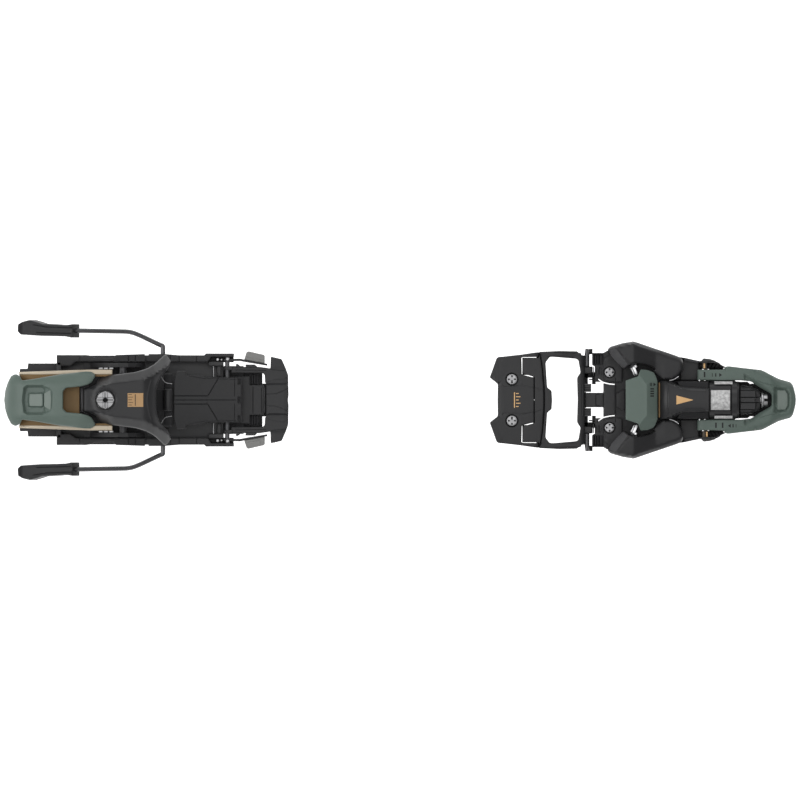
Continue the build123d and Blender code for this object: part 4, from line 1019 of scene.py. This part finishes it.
def build_front_cap():
    plan = whole([(103.3, 0), (103.3, 11.4), (112, 11.2), (118, 8.6), (120, 7), (120, 0)])
    hand_in(sculpt(
        "toe_front_cap_shell", plan, cap_top, 19.5, 0.4, 1.2,
        lines=[([(104.8, way * 2.1), (119.4, way * 2.1)], 0.45, 1.3) for way in (1, -1)]
        + [([(116.4, way * 7), (116.4, way * 2.6)], 0.4, 0.6) for way in (1, -1)]
        + [([(104.4, way * 7.6), (116.2, way * 7.6)], 0.4, 0.7) for way in (1, -1)],
    ), "base", BLACK, stands_for=("toe_front_cap",))
    chin = [
        (103, 0), (103, 14.6), (110.2, 14.6), (112.2, 13.0), (115.5, 13.2), (122, 9.6), (131, 4.6),
        (131, 0),
    ]
    # dark plate under the cap and lever: painted shade
    hand_in(sculpt("toe_chin_plate", whole(chin), 16.5, 9, 0.5, 1.6), "base", SHADE_AND_INK_BLACK)
    shank = turned(
        "toe_release_shank",
        [
            (66.5, 0), (66.5, 2.6), (67, 3.0), (120.8, 3.0), (121, 6.1), (121.3, 6.5), (122.3, 6.5),
            (122.5, 5.6), (122.8, 5.2), (125.6, 5.2), (126, 4.8), (126, 0),
        ],
        (0, 0, BARREL_Z), "x",
    )
    cut(shank, box("slot", (123.2, 127), (-1.1, 1.1), (20, 40), 0))
    cut(shank, box("slot", (123.2, 127), (-8, 8), (29.2, 30.8), 0))
    shade(shank)
    hand_in(shank, "toe_release_screw", STEEL, stands_for=("toe_release_screw",))


# ------------------------------------------------------------------ toe: front lever
FRONT_LEVER = [
    (148.8, 0), (148.5, 4), (147.5, 8), (146.4, 12), (144.5, 14.3), (140, 15.5), (135, 17),
    (130, 19.5), (123, 23.2), (121, 24), (110, 25.2), (95, 27), (93, 26.8), (90.5, 24.2), (70, 24.2),
    (70, 15.7), (105, 15.7), (113, 14.8), (120, 10), (128, 5.5), (129.3, 4), (129.5, 0),
]
SCOOP = whole([(143.7, 0), (143.5, 5), (141.2, 9), (133, 10.2), (131.6, 9.4), (131.6, 0)])
SCOOP_PAD = whole([(142.2, 0), (142.0, 5), (140.2, 8.1), (134.4, 8.3), (133.8, 7.6), (133.8, 0)])


def front_lever_top(x, y):
    across = np.abs(y)
    level = profile(
        [(69, 27), (71.5, 29), (75, 30.6), (92, 33), (113, 33), (130, 32), (142, 31), (149, 27.4)],
        2.0,
    )(x, y)
    arch = 0.9 * ease((across - 21.5 + 0.06 * (x - 95)) / 4) * (x > 92)
    v_edge = fall((113, 15.4), (129.5, 4.8), 2.4, 1.7)(x, across) * (x > 108) * (x < 134)
    shoulder = fall((146.6, 13.4), (118, 24.6), 3.4, 2.6)(x, across) * (x > 116)
    nose = 0.02 * across ** 2 * ease((x - 128) / 10)
    return level - arch - np.clip(v_edge, 0, 1.7) - np.clip(shoulder, 0, 3) - nose


def front_lever_foot(x, y):
    return profile(
        [
            (70, 22.5), (73, 19.6), (80, 19.1), (100, 19.6), (118, 21.1), (128, 20.6), (144, 20.1),
            (149, 23),
        ],
    )(x, y)


def build_front_lever():
    scoop_lines = [[(119, way * 14.4), (130, way * 11.6), (137.5, way * 10.6)] for way in (1, -1)]
    hand_in(sculpt(
        "front_lever_shell", rounded(whole(FRONT_LEVER), 1.0), front_lever_top, front_lever_foot, 0.9,
        1.6, lines=[(line, 0.6, 0.4) for line in scoop_lines],
        pockets=[(SCOOP, 3.0, 2.4), (SCOOP_PAD, -1.4, 1.2)],
    ), "front_lever", GREEN, stands_for=("front_lever",))
    marks = {
        "left": [
            bar(75.1, 20.4, 1.2, 2.1), bar(81.6, 20, 0.5, 1.4), bar(84.2, 20, 0.9, 1.3),
            arrow(87.4, 20, 1.5),
        ],
        "right": [
            bar(84.2, -20.2, 1.2, 2.1), bar(89.5, -20.2, 1.2, 2.1), arrow(96.6, -20.6, 1.5, -1),
            bar(98, -20.6, 0.9, 1.3), bar(100.6, -20.6, 0.5, 1.4),
        ],
    }
    for end, outlines in marks.items():
        for k, mark in enumerate(outlines):
            print_and_highlight_layer(f"front_lever_mark_{end}_{k}", mark, front_lever_top, "front_lever", SHADE_AND_INK_BLACK)
    # lighter patch in the scoop: painted highlight on the lit pad
    print_and_highlight_layer(
        "front_lever_pad_highlight", [(x * 0.97 + 4.2, y * 0.92) for x, y in SCOOP_PAD],
        lambda x, y: front_lever_top(x, y) - 1.55, "front_lever", GREEN_LIT,
    )
    for way, end in SIDES:
        hand_in(box(
            f"front_lever_pin_sleeve_{end}", (75.9 - way, 77.3 - way), (25.3, 29.4), (22, 27.6), 0.3,
        ), "base", GOLD, side=way)
        for k, (x, y) in enumerate(((74.4, 24.3), (78.7, 24.2), (71.6, 15.6), (75.9, 15.6))):
            hand_in(turned(
                f"front_lever_stud_{end}_{k}",
                [(26.5, 0), (26.5, 0.75), (29.0, 0.75), (29.4, 0.4), (29.4, 0)], (x, y, 0), "z", 20,
            ), "front_lever", BRIGHT, side=way)


# ------------------------------------------------------------------ heel: carriage
def ring(x, y, radius, count=28):
    return arc((x, y), radius, 0, 360 - 360 / count, count - 1)


WALL_PLAN = [
    (-83.5, 27.4), (-73, 27.0), (-68, 30.6), (37.5, 30.6), (40, 34.6), (58.3, 34.6), (58.3, 37.2),
    (36, 37.2), (34.5, 35.8), (15, 35.8), (3, 36.8), (-10, 36.8), (-10, 35.8), (-13, 35.8),
    (-13, 36.8), (-36, 36), (-38, 33.7), (-53, 33.9), (-57, 35.6), (-60, 36), (-83.5, 36),
]


def wall_top(x, y):
    """Side wall: flat panel at the rear, a curved rim falling away outside it, ribs at the front."""
    rim = np.interp(x, [-66, -60, -52, -45, -30, 60], [35.8, 34.0, 32.4, 31.5, 30.6, 30.4])
    outside = 1.4 * ease((y - rim) / 0.8) * (x > -66) * (x < -12)
    return 20.0 - outside


def build_carriage():
    hand_in(slab(
        "carriage_floor", [(-83.5, -31), (50, -31), (50, 31), (-83.5, 31)], 8.4, 12, "z", 0.5,
    ), "carriage", BLACK, HEEL, stands_for=("heel_carriage",))
    hand_in(box(
        "carriage_rear_wall", (-83.5, -80), (-30.4, 30.4), (8.6, 20), 0.5,
    ), "carriage", BLACK, HEEL)
    for way, end in SIDES:
        hand_in(sculpt(
            f"carriage_wall_{end}", WALL_PLAN, wall_top, lambda x, y: np.where(y < 30.4, 16.9, 8.4),
            0.6, 1.6,
            lines=[([(-65.2, 30), (-65.2, 33.6)], 0.3, 0.3)] + [
                ([(x, 30.4), (x, 36)], 0.35, 0.5)
                for x in (-26, -20.5, 7.5, 14.5, 28.5)
            ],
        ), "carriage", BLACK, HEEL, way)
        hand_in(box(
            f"carriage_skirt_{end}", (-83.5, 30), (30.2, 35.6), (1, 8.6), 0.4,
        ), "carriage", BLACK, HEEL, way)
        blocks = [
            ((-3, 6), (23, 27), (11, 18)), ((38, 50), (27.2, 30.8), (11, 17)),
            ((44.8, 48), (18.4, 27.5), (11, 15)),
        ]
        for k, (x, y, z) in enumerate(blocks):
            hand_in(box(f"carriage_bearing_{end}_{k}", x, y, z, 0.6), "carriage", BLACK, HEEL, way)
        for k, (x, y, size) in enumerate(((45.3, 32.5, 1.3), (48.4, 32.3, 0.9), (53.2, 32.8, 1.5))):
            hand_in(turned(
                f"carriage_fastener_{end}_{k}",
                [(16, 0), (16, size), (18.4, size), (18.8, size - 0.4), (18.8, 0)], (x, y, 0), "z",
                20,
            ), "carriage", STEEL, HEEL, way)
        # dark plates in the gaps and under the climbing aid: painted shade
        hand_in(box(
            f"carriage_gap_plate_{end}", (36.4, 58.0), (30.2, 35.0), (4, 12), 0.3,
        ), "carriage", SHADE_AND_INK_BLACK, HEEL, way)
        hand_in(box(
            f"carriage_front_strap_{end}", (50, 66), (18.6, 27.2), (8.5, 9.8), 0.3,
        ), "carriage", SHADE_AND_INK_BLACK, HEEL, way)
        hand_in(turned(
            f"carriage_cross_pin_{end}", [(18.6, 0), (18.6, 0.45), (27, 0.45), (27, 0)],
            (42, 0, 14.2), "y", 16,
        ), "carriage", STEEL, HEEL, way)
        # dark block under the climbing aid: painted shade
        hand_in(sculpt(
            f"front_side_block_{end}", [(70, 12), (78, 12), (78, 20.8), (70, 20.8)], 9, 2, 0.5, 1.2,
            lines=[([(72 + 2 * k, 12), (72 + 2 * k, 20.8)], 0.3, 0.5) for k in range(3)],
        ), "carriage", SHADE_AND_INK_BLACK, HEEL, way)
    # dark plates under the front block: painted shade
    hand_in(box(
        "front_under_plate", (61.5, 81.0), (-25.4, 25.4), (2.2, 6.5), 0.5,
    ), "carriage", SHADE_AND_INK_BLACK, HEEL)
    hand_in(box("front_lip", (80.5, 85.5), (-13.2, 13.2), (2.2, 6.5), 0.5), "carriage", SHADE_AND_INK_BLACK, HEEL)
    plate = [(83, 0), (83, 9), (82, 12), (71, 12), (71, 19), (50, 19), (50, 0)]
    hand_in(sculpt(
        "front_block_shell", rounded(whole(plate), 0.6), 11.5,
        lambda x, y: np.where(x < 66, 8.4, 2.0), 0.6, 1.6,
        lines=[([(73.5, -10), (73.5, 10)], 0.4, 0.3), ([(80.5, -9.5), (80.5, 9.5)], 0.4, 0.3)],
    ), "carriage", BLACK, HEEL, stands_for=("carriage_front_block",))


# ------------------------------------------------------------------ heel: housing
HOUSING_PLAN = [
    (-3.3, 0), (-3.3, 8), (-2.5, 12), (0, 18), (7, 26), (8.5, 31), (5, 35.5), (3, 36), (0, 33),
    (-5, 28.5), (-11, 25), (-20, 22.3), (-38, 20), (-48.4, 19), (-49.2, 17), (-51.8, 12.2),
    (-56, 10.4), (-61.4, 9.9), (-61.4, 0),
]

CAP_X = -43.8


def housing_crown(x):
    """Half width of the level crown before the sides fall away."""
    return np.interp(x, [-62, -50, -40, -15, -5, 5, 9], [8.6, 9.8, 12.6, 15.4, 20.0, 26.2, 30.0])


def heel_housing_top(x, y):
    across = np.abs(y)
    crown = profile([(-61.5, 69.5), (-57, 73), (-50, 77.8), (-12, 78), (-5, 74.6), (9, 74)], 2.5)(x, y)
    past = np.maximum(across - housing_crown(x), 0)
    dish = 0.9 * ease((x + 16) / 8) * ease((housing_crown(x) - across) / 2)
    ring_step = 0.7 * (1 - ease((np.hypot(x - CAP_X, y) - 8.6) / 1.2))
    return crown - (1.35 + 0.45 * ease((-36 - x) / 8)) * past - dish - ring_step


def heel_housing_foot(x, y):
    under = profile(
        [(-61.4, 55), (-52, 46), (-40, 34.5), (-20, 34.5), (-14, 43), (-8, 61), (9, 64)], 5,
    )(x, y)
    cup = 1 - ease((np.hypot(x - 33.5, y) - 42) / 7)
    return under + (66.0 - under) * cup


def build_heel_housing():
    creases = []
    for way in (1, -1):
        creases += [
            ([(-49, way * 13.4), (-40, way * 12.6), (-28, way * 14.0), (-15, way * 15.6)], 0.45, 0.18),
            ([(-7.2, way * 15.6), (-9.4, way * 8.0), (-10.3, way * 0.2)], 0.5, -0.22),
        ]
    hand_in(sculpt(
        "heel_housing_shell", rounded(whole(HOUSING_PLAN), 1.0), heel_housing_top, heel_housing_foot,
        1.0, 1.7, lines=creases, pockets=[(ring(CAP_X, 0, 7.85), 7.0, 0.4)],
    ), "housing", GLOSS, HEEL, stands_for=("heel_housing",))
    hand_in(slab(
        "heel_stop_pad",
        [(2.4, 33.0), (3.2, 31), (8.4, 31), (9.4, 33), (9.4, 40.5), (7.6, 43), (4.0, 43), (2.4, 41)],
        -8.9, 8.9, "y", 1.6,
    ), "housing", GLOSS, HEEL)
    # dark neck under the housing behind the heel stop: painted shade
    hand_in(slab(
        "heel_stop_neck", [(-16, 36), (-12, 60), (-7, 60), (-5, 40), (3, 38), (3, 32), (-10, 32)],
        -8.4, 8.4, "y", 0.5,
    ), "housing", SHADE_AND_INK_BLACK, HEEL)
    cap_edge = [
        (70, 0), (70, 7.53), (77.4, 7.53), (78, 7.0), (78.9, 6.6), (79, 6.3), (79, 1.5), (78.2, 1.2),
        (78.2, 0),
    ]
    cap = turned("release_cap_shell", cap_edge, (CAP_X, 0, 0), "z", 64)
    for k in range(2):
        bar_cut = box("slot", (-8, 8), (-0.55, 0.55), (78.3, 80), 0)
        turn = Matrix.Translation((CAP_X, 0, 0)) @ Matrix.Rotation(k * math.pi / 2, 4, "Z")
        bar_cut.data.transform(turn)
        cut(cap, bar_cut)
        # dark strips along the cross slots: painted shade in the slots
        for n, half in enumerate((0.5, 1.9)):
            for part, y in (("slot", half), ("mark", -half)):
                groove = box(
                    f"release_cap_{part}_{k}_{n}", (-6.3, 6.3), (y - 0.2, y + 0.2), (78.6, 79.0), 0,
                )
                hand_in(groove, "release_cap", SHADE_AND_INK_BLACK, HEEL, place=turn)
    shade(cap)
    hand_in(cap, "release_cap", STEEL, HEEL, stands_for=("release_cap",))
    # dark hub at the crossing of the slots: painted shade
    hand_in(turned(
        "release_cap_hub", [(78, 0), (78, 1.9), (79, 1.9), (79, 0)], (CAP_X, 0, 0), "z", 28,
    ), "release_cap", SHADE_AND_INK_BLACK, HEEL)
    hand_in(sculpt(
        "scale_plate_face", whole([(-26, 0), (-26, 5.5), (-13.5, 5.5), (-13.5, 0)]), 78.25, 77.2, 0.2,
        1.5,
    ), "housing", GOLD_PLATE, HEEL, stands_for=("scale_plate",))
    for k in range(5):
        hand_in(box(
            f"scale_tick_{k}", (-25.4, -22.6 + 0.9 * (k % 2)), (-4.2 + 2.1 * k, -3.8 + 2.1 * k),
            (78.1, 78.35), 0,
        ), "housing", SHADE_AND_INK_BLACK, HEEL)
    hand_in(box("scale_frame", (-20.2, -19.6), (-4.6, 4.6), (78.1, 78.35), 0), "housing", SHADE_AND_INK_BLACK, HEEL)
    for way, end in SIDES:
        for k, x in enumerate((-47.6, -43.4, -39.2)):
            hand_in(box(
                f"lever_stud_{end}_{k}", (x - 1.6, x + 1.6), (24.4, 25.8), (59.6, 64.0), 0.5,
            ), "housing", STEEL, HEEL, way)
        hook = [(0.5, 18.6), (2.2, 15.0), (5.0, 13.2), (9.0, 12.9)]
        hand_in(wire(
            f"cup_clip_{end}", [(x, y, 37.8) for x, y in hook], 0.35,
        ), "housing", STEEL, HEEL, way)
        # dark block beside the heel stop: painted shade inside the cup
        hand_in(box(
            f"cup_block_{end}", (2.6, 9.2), (7.4, 21.0), (31.8, 37.6), 0.8,
        ), "housing", SHADE_AND_INK_BLACK, HEEL, way)


# ------------------------------------------------------------------ heel: lever
HEEL_LEVER = [
    (-77.6, 0), (-77.6, 7), (-75, 9.7), (-63, 10.8), (-57.4, 12.4), (-54.8, 14), (-52.0, 18.6),
    (-52.6, 21), (-55.5, 22.7), (-60, 22.8), (-80, 20.5), (-100, 17), (-110.5, 15.6), (-112, 19),
    (-115, 20.7), (-117, 20.5), (-119.4, 19), (-122, 14), (-124, 8), (-125, 0),
]
LEVER_RECESS = whole([(-109.5, 0), (-108.4, 9.4), (-106, 11), (-94, 11), (-92, 9.4), (-92, 0)])
LEVER_PAD = whole([(-105.4, 0), (-104.8, 5.2), (-94.6, 5.5), (-93.2, 4.6), (-93.2, 0)])
LEVER_WEDGE = whole([(-91.5, 0), (-91.5, 10.2), (-88.6, 9.0), (-86.5, 6.0), (-86.2, 0)])


def heel_lever_top(x, y):
    across = np.abs(y)
    level = profile(
        [
            (-126, 54), (-121, 62), (-113, 68), (-95, 72.5), (-80, 76), (-66, 77), (-57, 75.4),
            (-51, 71.4),
        ],
        3,
    )(x, y)
    side = 0.055 * np.maximum(across - 11, 0) ** 2
    lip = fall((-123.4, 13), (-125.6, -13), 2.6, 2.4)(x, y)
    return level - np.minimum(side, 6) - np.clip(lip, 0, 2.4)


def heel_lever_foot(x, y):
    return np.interp(x, [-125, -120, -113, -100, -80, -51], [50, 49.5, 56.8, 60.3, 64.3, 66.0])


def build_heel_lever():
    web_side = [
        (-64.6, 61.8), (-64.6, 65), (-80, 64.2), (-100, 60.2), (-112, 56.9), (-112, 53.5),
        (-100, 56.7), (-80, 60.7),
    ]
    hand_in(slab(
        "lever_core_web", web_side, -20.5, 20.5, "y", 0.4,
    ), "heel_lever", BRONZE, HEEL, stands_for=("lever_core",))
    hand_in(box(
        "housing_sill", (-63.4, -61.6), (-9.6, 9.6), (54.5, 60.5), 0.3,
    ), "housing", DARK_STEEL, HEEL)
    for way, end in SIDES:
        # The flanges are lighter than the bronze web: painted highlight on their lit tops.
        hand_in(sculpt(
            f"lever_core_flange_{end}",
            [(-113, 20.2), (-38.4, 20.4), (-38.4, 24.2), (-58, 24.2), (-113, 22.4)],
            lambda x, y: np.interp(x, [-113, -100, -80, -51, -38], [56.7, 60.2, 64.2, 65.9, 65]),
            lambda x, y: np.interp(x, [-113, -100, -80, -48, -38], [50, 51.5, 53.5, 53.5, 55]), 0.5,
            1.6,
        ), "heel_lever", BRONZE_HIGHLIGHT, HEEL, way)
        hand_in(slab(
            f"lever_core_cheek_{end}", [(-52, 58), (-38.6, 58), (-39, 64.6), (-52, 65.2)], 18.6, 20.8,
            "y", 0.4,
        ), "heel_lever", BRONZE, HEEL, way)
    hand_in(sculpt(
        "heel_lever_shell", rounded(whole(HEEL_LEVER), 1.0), heel_lever_top, heel_lever_foot, 1.2,
        1.7, pockets=[(LEVER_RECESS, 4.2, 2.2), (LEVER_PAD, -2.0, 1.4), (LEVER_WEDGE, 1.6, 1.6)],
    ), "heel_lever", GREEN, HEEL, stands_for=("heel_lever",))
    # lighter patches on the pad and wedge: painted highlight on their lit tops
    pad_highlight = whole([(-104.6, 0), (-104.2, 4.6), (-94.6, 4.8), (-94.2, 0)])
    print_and_highlight_layer("heel_lever_pad_highlight", pad_highlight, lambda x, y: heel_lever_top(x, y) - 2.15, "heel_lever", GREEN_LIT, HEEL)
    wedge_highlight = whole([(-92.6, 0), (-92.6, 5.0), (-87.6, 8.0), (-87.2, 0)])
    print_and_highlight_layer(
        "heel_lever_wedge_highlight", wedge_highlight, lambda x, y: heel_lever_top(x, y) - 1.2, "heel_lever", GREEN_LIT,
        HEEL,
    )


# ------------------------------------------------------------------ heel: pedal and brake
PEDAL_PLAN = [
    (10.3, 0), (10.3, 15), (12.5, 23.3), (20, 23.3), (20.5, 20), (34, 19.7), (37, 18), (64.8, 18),
    (64.8, 0),
]
ARM_TILT = math.radians(36)
BRAKE_X, BRAKE_Z = 1.5, 14
PAD_PLAN = [
    (-69, 50.2), (-70.5, 50), (-75, 51), (-84, 51.3), (-95, 51.5), (-111.5, 52.6), (-113.8, 55),
    (-113.6, 61), (-110, 63), (-104, 64.4), (-98, 62.6), (-94, 61.2), (-84, 60.8), (-75, 60),
    (-69, 61),
]


def pedal_top(x, y):
    return 32.0 - 10.0 * (x - 10) / 55.0 - 0.004 * y ** 2


def build_pedal():
    grooves = [([(11.6, 0), (59.6, 0)], 0.35, 0.5)]
    windows = [([(61.5, -2.6), (63.4, -2.6), (63.4, 2.6), (61.5, 2.6)], 1.8, 0.4)]
    for way in (1, -1):
        grooves += [
            ([(11.5, way * 3.3), (37.5, way * 3.3), (46, way * 17.6)], 0.5, 0.55),
            ([(20.4, way * 19.6), (34, way * 17.2), (60, way * 16.4)], 0.35, 0.3),
            ([(58.9, way * 3.2), (58.9, way * 17.8)], 0.35, 0.35),
        ]
        windows.append(
            (
                [
                    (61.5, way * 12.5), (63.4, way * 12.5), (63.4, way * 17.0), (61.5, way * 17.0),
                ][::way],
                1.8, 0.4,
            ),
        )
    hand_in(sculpt(
        "brake_pedal_shell", rounded(whole(PEDAL_PLAN), 1.0), pedal_top,
        lambda x, y: 27.6 - 9.6 * (x - 10) / 55.0, 0.9, 1.6, lines=grooves, pockets=windows,
    ), "pedal", BLACK, HEEL, stands_for=("brake_pedal",))
    for way, end in SIDES:
        hand_in(slab(
            f"pedal_lug_{end}",
            [(49.6, 23)] + arc((FRONT_AXLE_X, FRONT_AXLE_Z), 3.4, 180, 360, 10) + [(56.4, 22)], 10,
            17.6, "y", 0.5,
        ), "pedal", BLACK, HEEL, way)


def arm_height(x):
    return BRAKE_Z - (BRAKE_X - x) * math.tan(ARM_TILT)


def build_brake():
    for way, end in SIDES:
        bend = [
            (1.5, 22.6), (1.5, 41.0), (1.5, 43.4), (-0.4, 43.8), (-20.0, 53.2), (-26.5, 54.8),
            (-34, 55.0), (-106, 56.4),
        ]
        path = [(x, y, arm_height(x)) for x, y in bend]
        hand_in(wire(
            f"brake_arm_{end}", path, 1.9,
        ), f"brake_{end}", GLOSS_STEEL, HEEL, way, (f"brake_wire_{end}",))
        slope = Matrix.Translation((BRAKE_X, 0, BRAKE_Z)) @ Matrix.Rotation(-ARM_TILT, 4, "Y")
        along = [((x - BRAKE_X) / math.cos(ARM_TILT), y) for x, y in PAD_PLAN]
        grooves = []
        for run, depth in (([(-100, 60.3), (-90, 58.6), (-68, 57.8)], 0.6),
            ([(-98, 54.2), (-84, 53.7), (-70, 53.3)], 0.6)):
            grooves.append(([((x - BRAKE_X) / math.cos(ARM_TILT), y) for x, y in run], 0.6, depth))
        for k in range(4):
            x = (-113.2 + 1.1 * k - BRAKE_X) / math.cos(ARM_TILT)
            grooves.append(([(x, 53.6), (x, 61.6)], 0.35, 0.7))
        hand_in(sculpt(
            f"brake_pad_{end}_shell", rounded(along, 0.8), 4.8, -4.8, 1.2, 1.7, lines=grooves,
        ), f"brake_{end}", BLACK, HEEL, way, (f"brake_pad_{end}",), slope)


# ------------------------------------------------------------------ heel: brake lock and climbing aid
def build_lock():
    leaf_plan = [
        (50.4, 31.0), (63, 31.2), (70, 29.9), (85, 27.4), (85, 29.0), (70, 31.7), (63, 33.1),
        (50.4, 32.7),
    ]
    tab_plan = [(66.5, 32.3), (70, 31.65), (83, 29.3), (83, 35.5), (82, 36.3), (70, 39), (68.5, 38.5)]
    for way, end in SIDES:
        hand_in(slab(
            f"lock_leaf_{end}", leaf_plan, 13.4, 18.6, "z", 0.25,
        ), f"lock_{end}", COATED, HEEL, way, (f"lock_leaf_{end}",))
        hand_in(sculpt(
            f"lock_tab_shell_{end}", rounded(tab_plan, 0.6),
            lambda x, y: 18.4 - 0.06 * (x - 66) - 0.1 * (y - 30), 13.6, 0.6, 1.4,
            lines=[([(67.5, 34.6), (83, 31.4)], 0.4, 0.25), ([(79.4, 29.8), (79.4, 37)], 0.35, 0.25)],
        ), f"lock_{end}", GREY, HEEL, way, (f"lock_tab_{end}",))


AID_PLAN = [
    (84, 0), (84, 13.5), (83.2, 14), (83, 20), (81.5, 21.5), (56, 21.5), (56, 26.5), (79, 26.5),
    (87.5, 25.3), (87.8, 34.7), (96.5, 32.8), (99.5, 26), (101.7, 20), (102, 4), (101.5, 0),
]


def aid_top(x, y):
    across = np.abs(y)
    rim = fall((96.6, 33), (102.4, 18), 2.6, 2.2)(x, across) * (across > 12)
    ear = 0.9 * ease((across - 24.6) / 0.8) * (x > 86)
    return 20.0 - np.clip(rim, 0, 2.2) - ear - 0.5 * ease((x - 99.2) / 1.2) * (across < 18)


def build_climbing_aid():
    creases = []
    for way in (1, -1):
        creases += [
            ([(87.6, way * 24.4), (100, way * 23.2)], 0.4, 0.3),
            ([(84.4, way * 4.5), (92, way * 5.0), (101, way * 8.5)], 0.45, 0.3),
            ([(84, way * 13.6), (88, way * 16), (99, way * 17.4)], 0.4, -0.15),
            ([(60, way * 24), (84, way * 23.6)], 0.35, 0.3),
        ]
    hand_in(sculpt(
        "climbing_aid_shell", rounded(whole(AID_PLAN), 0.9), aid_top, 12.0, 0.9, 1.6, lines=creases,
    ), "climbing_aid", BLACK, HEEL, stands_for=("climbing_aid",))
    for way, end in SIDES:
        hand_in(slab(
            f"aid_eye_{end}",
            [(56.8, 12.8), (56.8, 19.2)] + arc((FRONT_AXLE_X, FRONT_AXLE_Z), 3.1, 90, 270, 10), 24,
            26.5, "y", 0.3,
        ), "climbing_aid", BLACK, HEEL, way)
        hooks = (
            [(60, 26.2), (60, 28.8), (61.5, 28.8), (64.5, 26.2)],
            [(68, 26.2), (67.4, 28.4), (75, 28.4), (77.4, 26.2)],
        )
        for k, hook in enumerate(hooks):
            hand_in(slab(f"aid_hook_{end}_{k}", hook, 13, 18, "z", 0.3), "climbing_aid", BLACK, HEEL, way)


for build in (
    build_rear_plate, build_boot_rest, build_toe_base, build_wings, build_mode_switch, build_toe_housing,
    build_front_lever, build_carriage, build_heel_housing, build_heel_lever, build_pedal, build_brake,
    build_lock, build_climbing_aid,
):
    build()
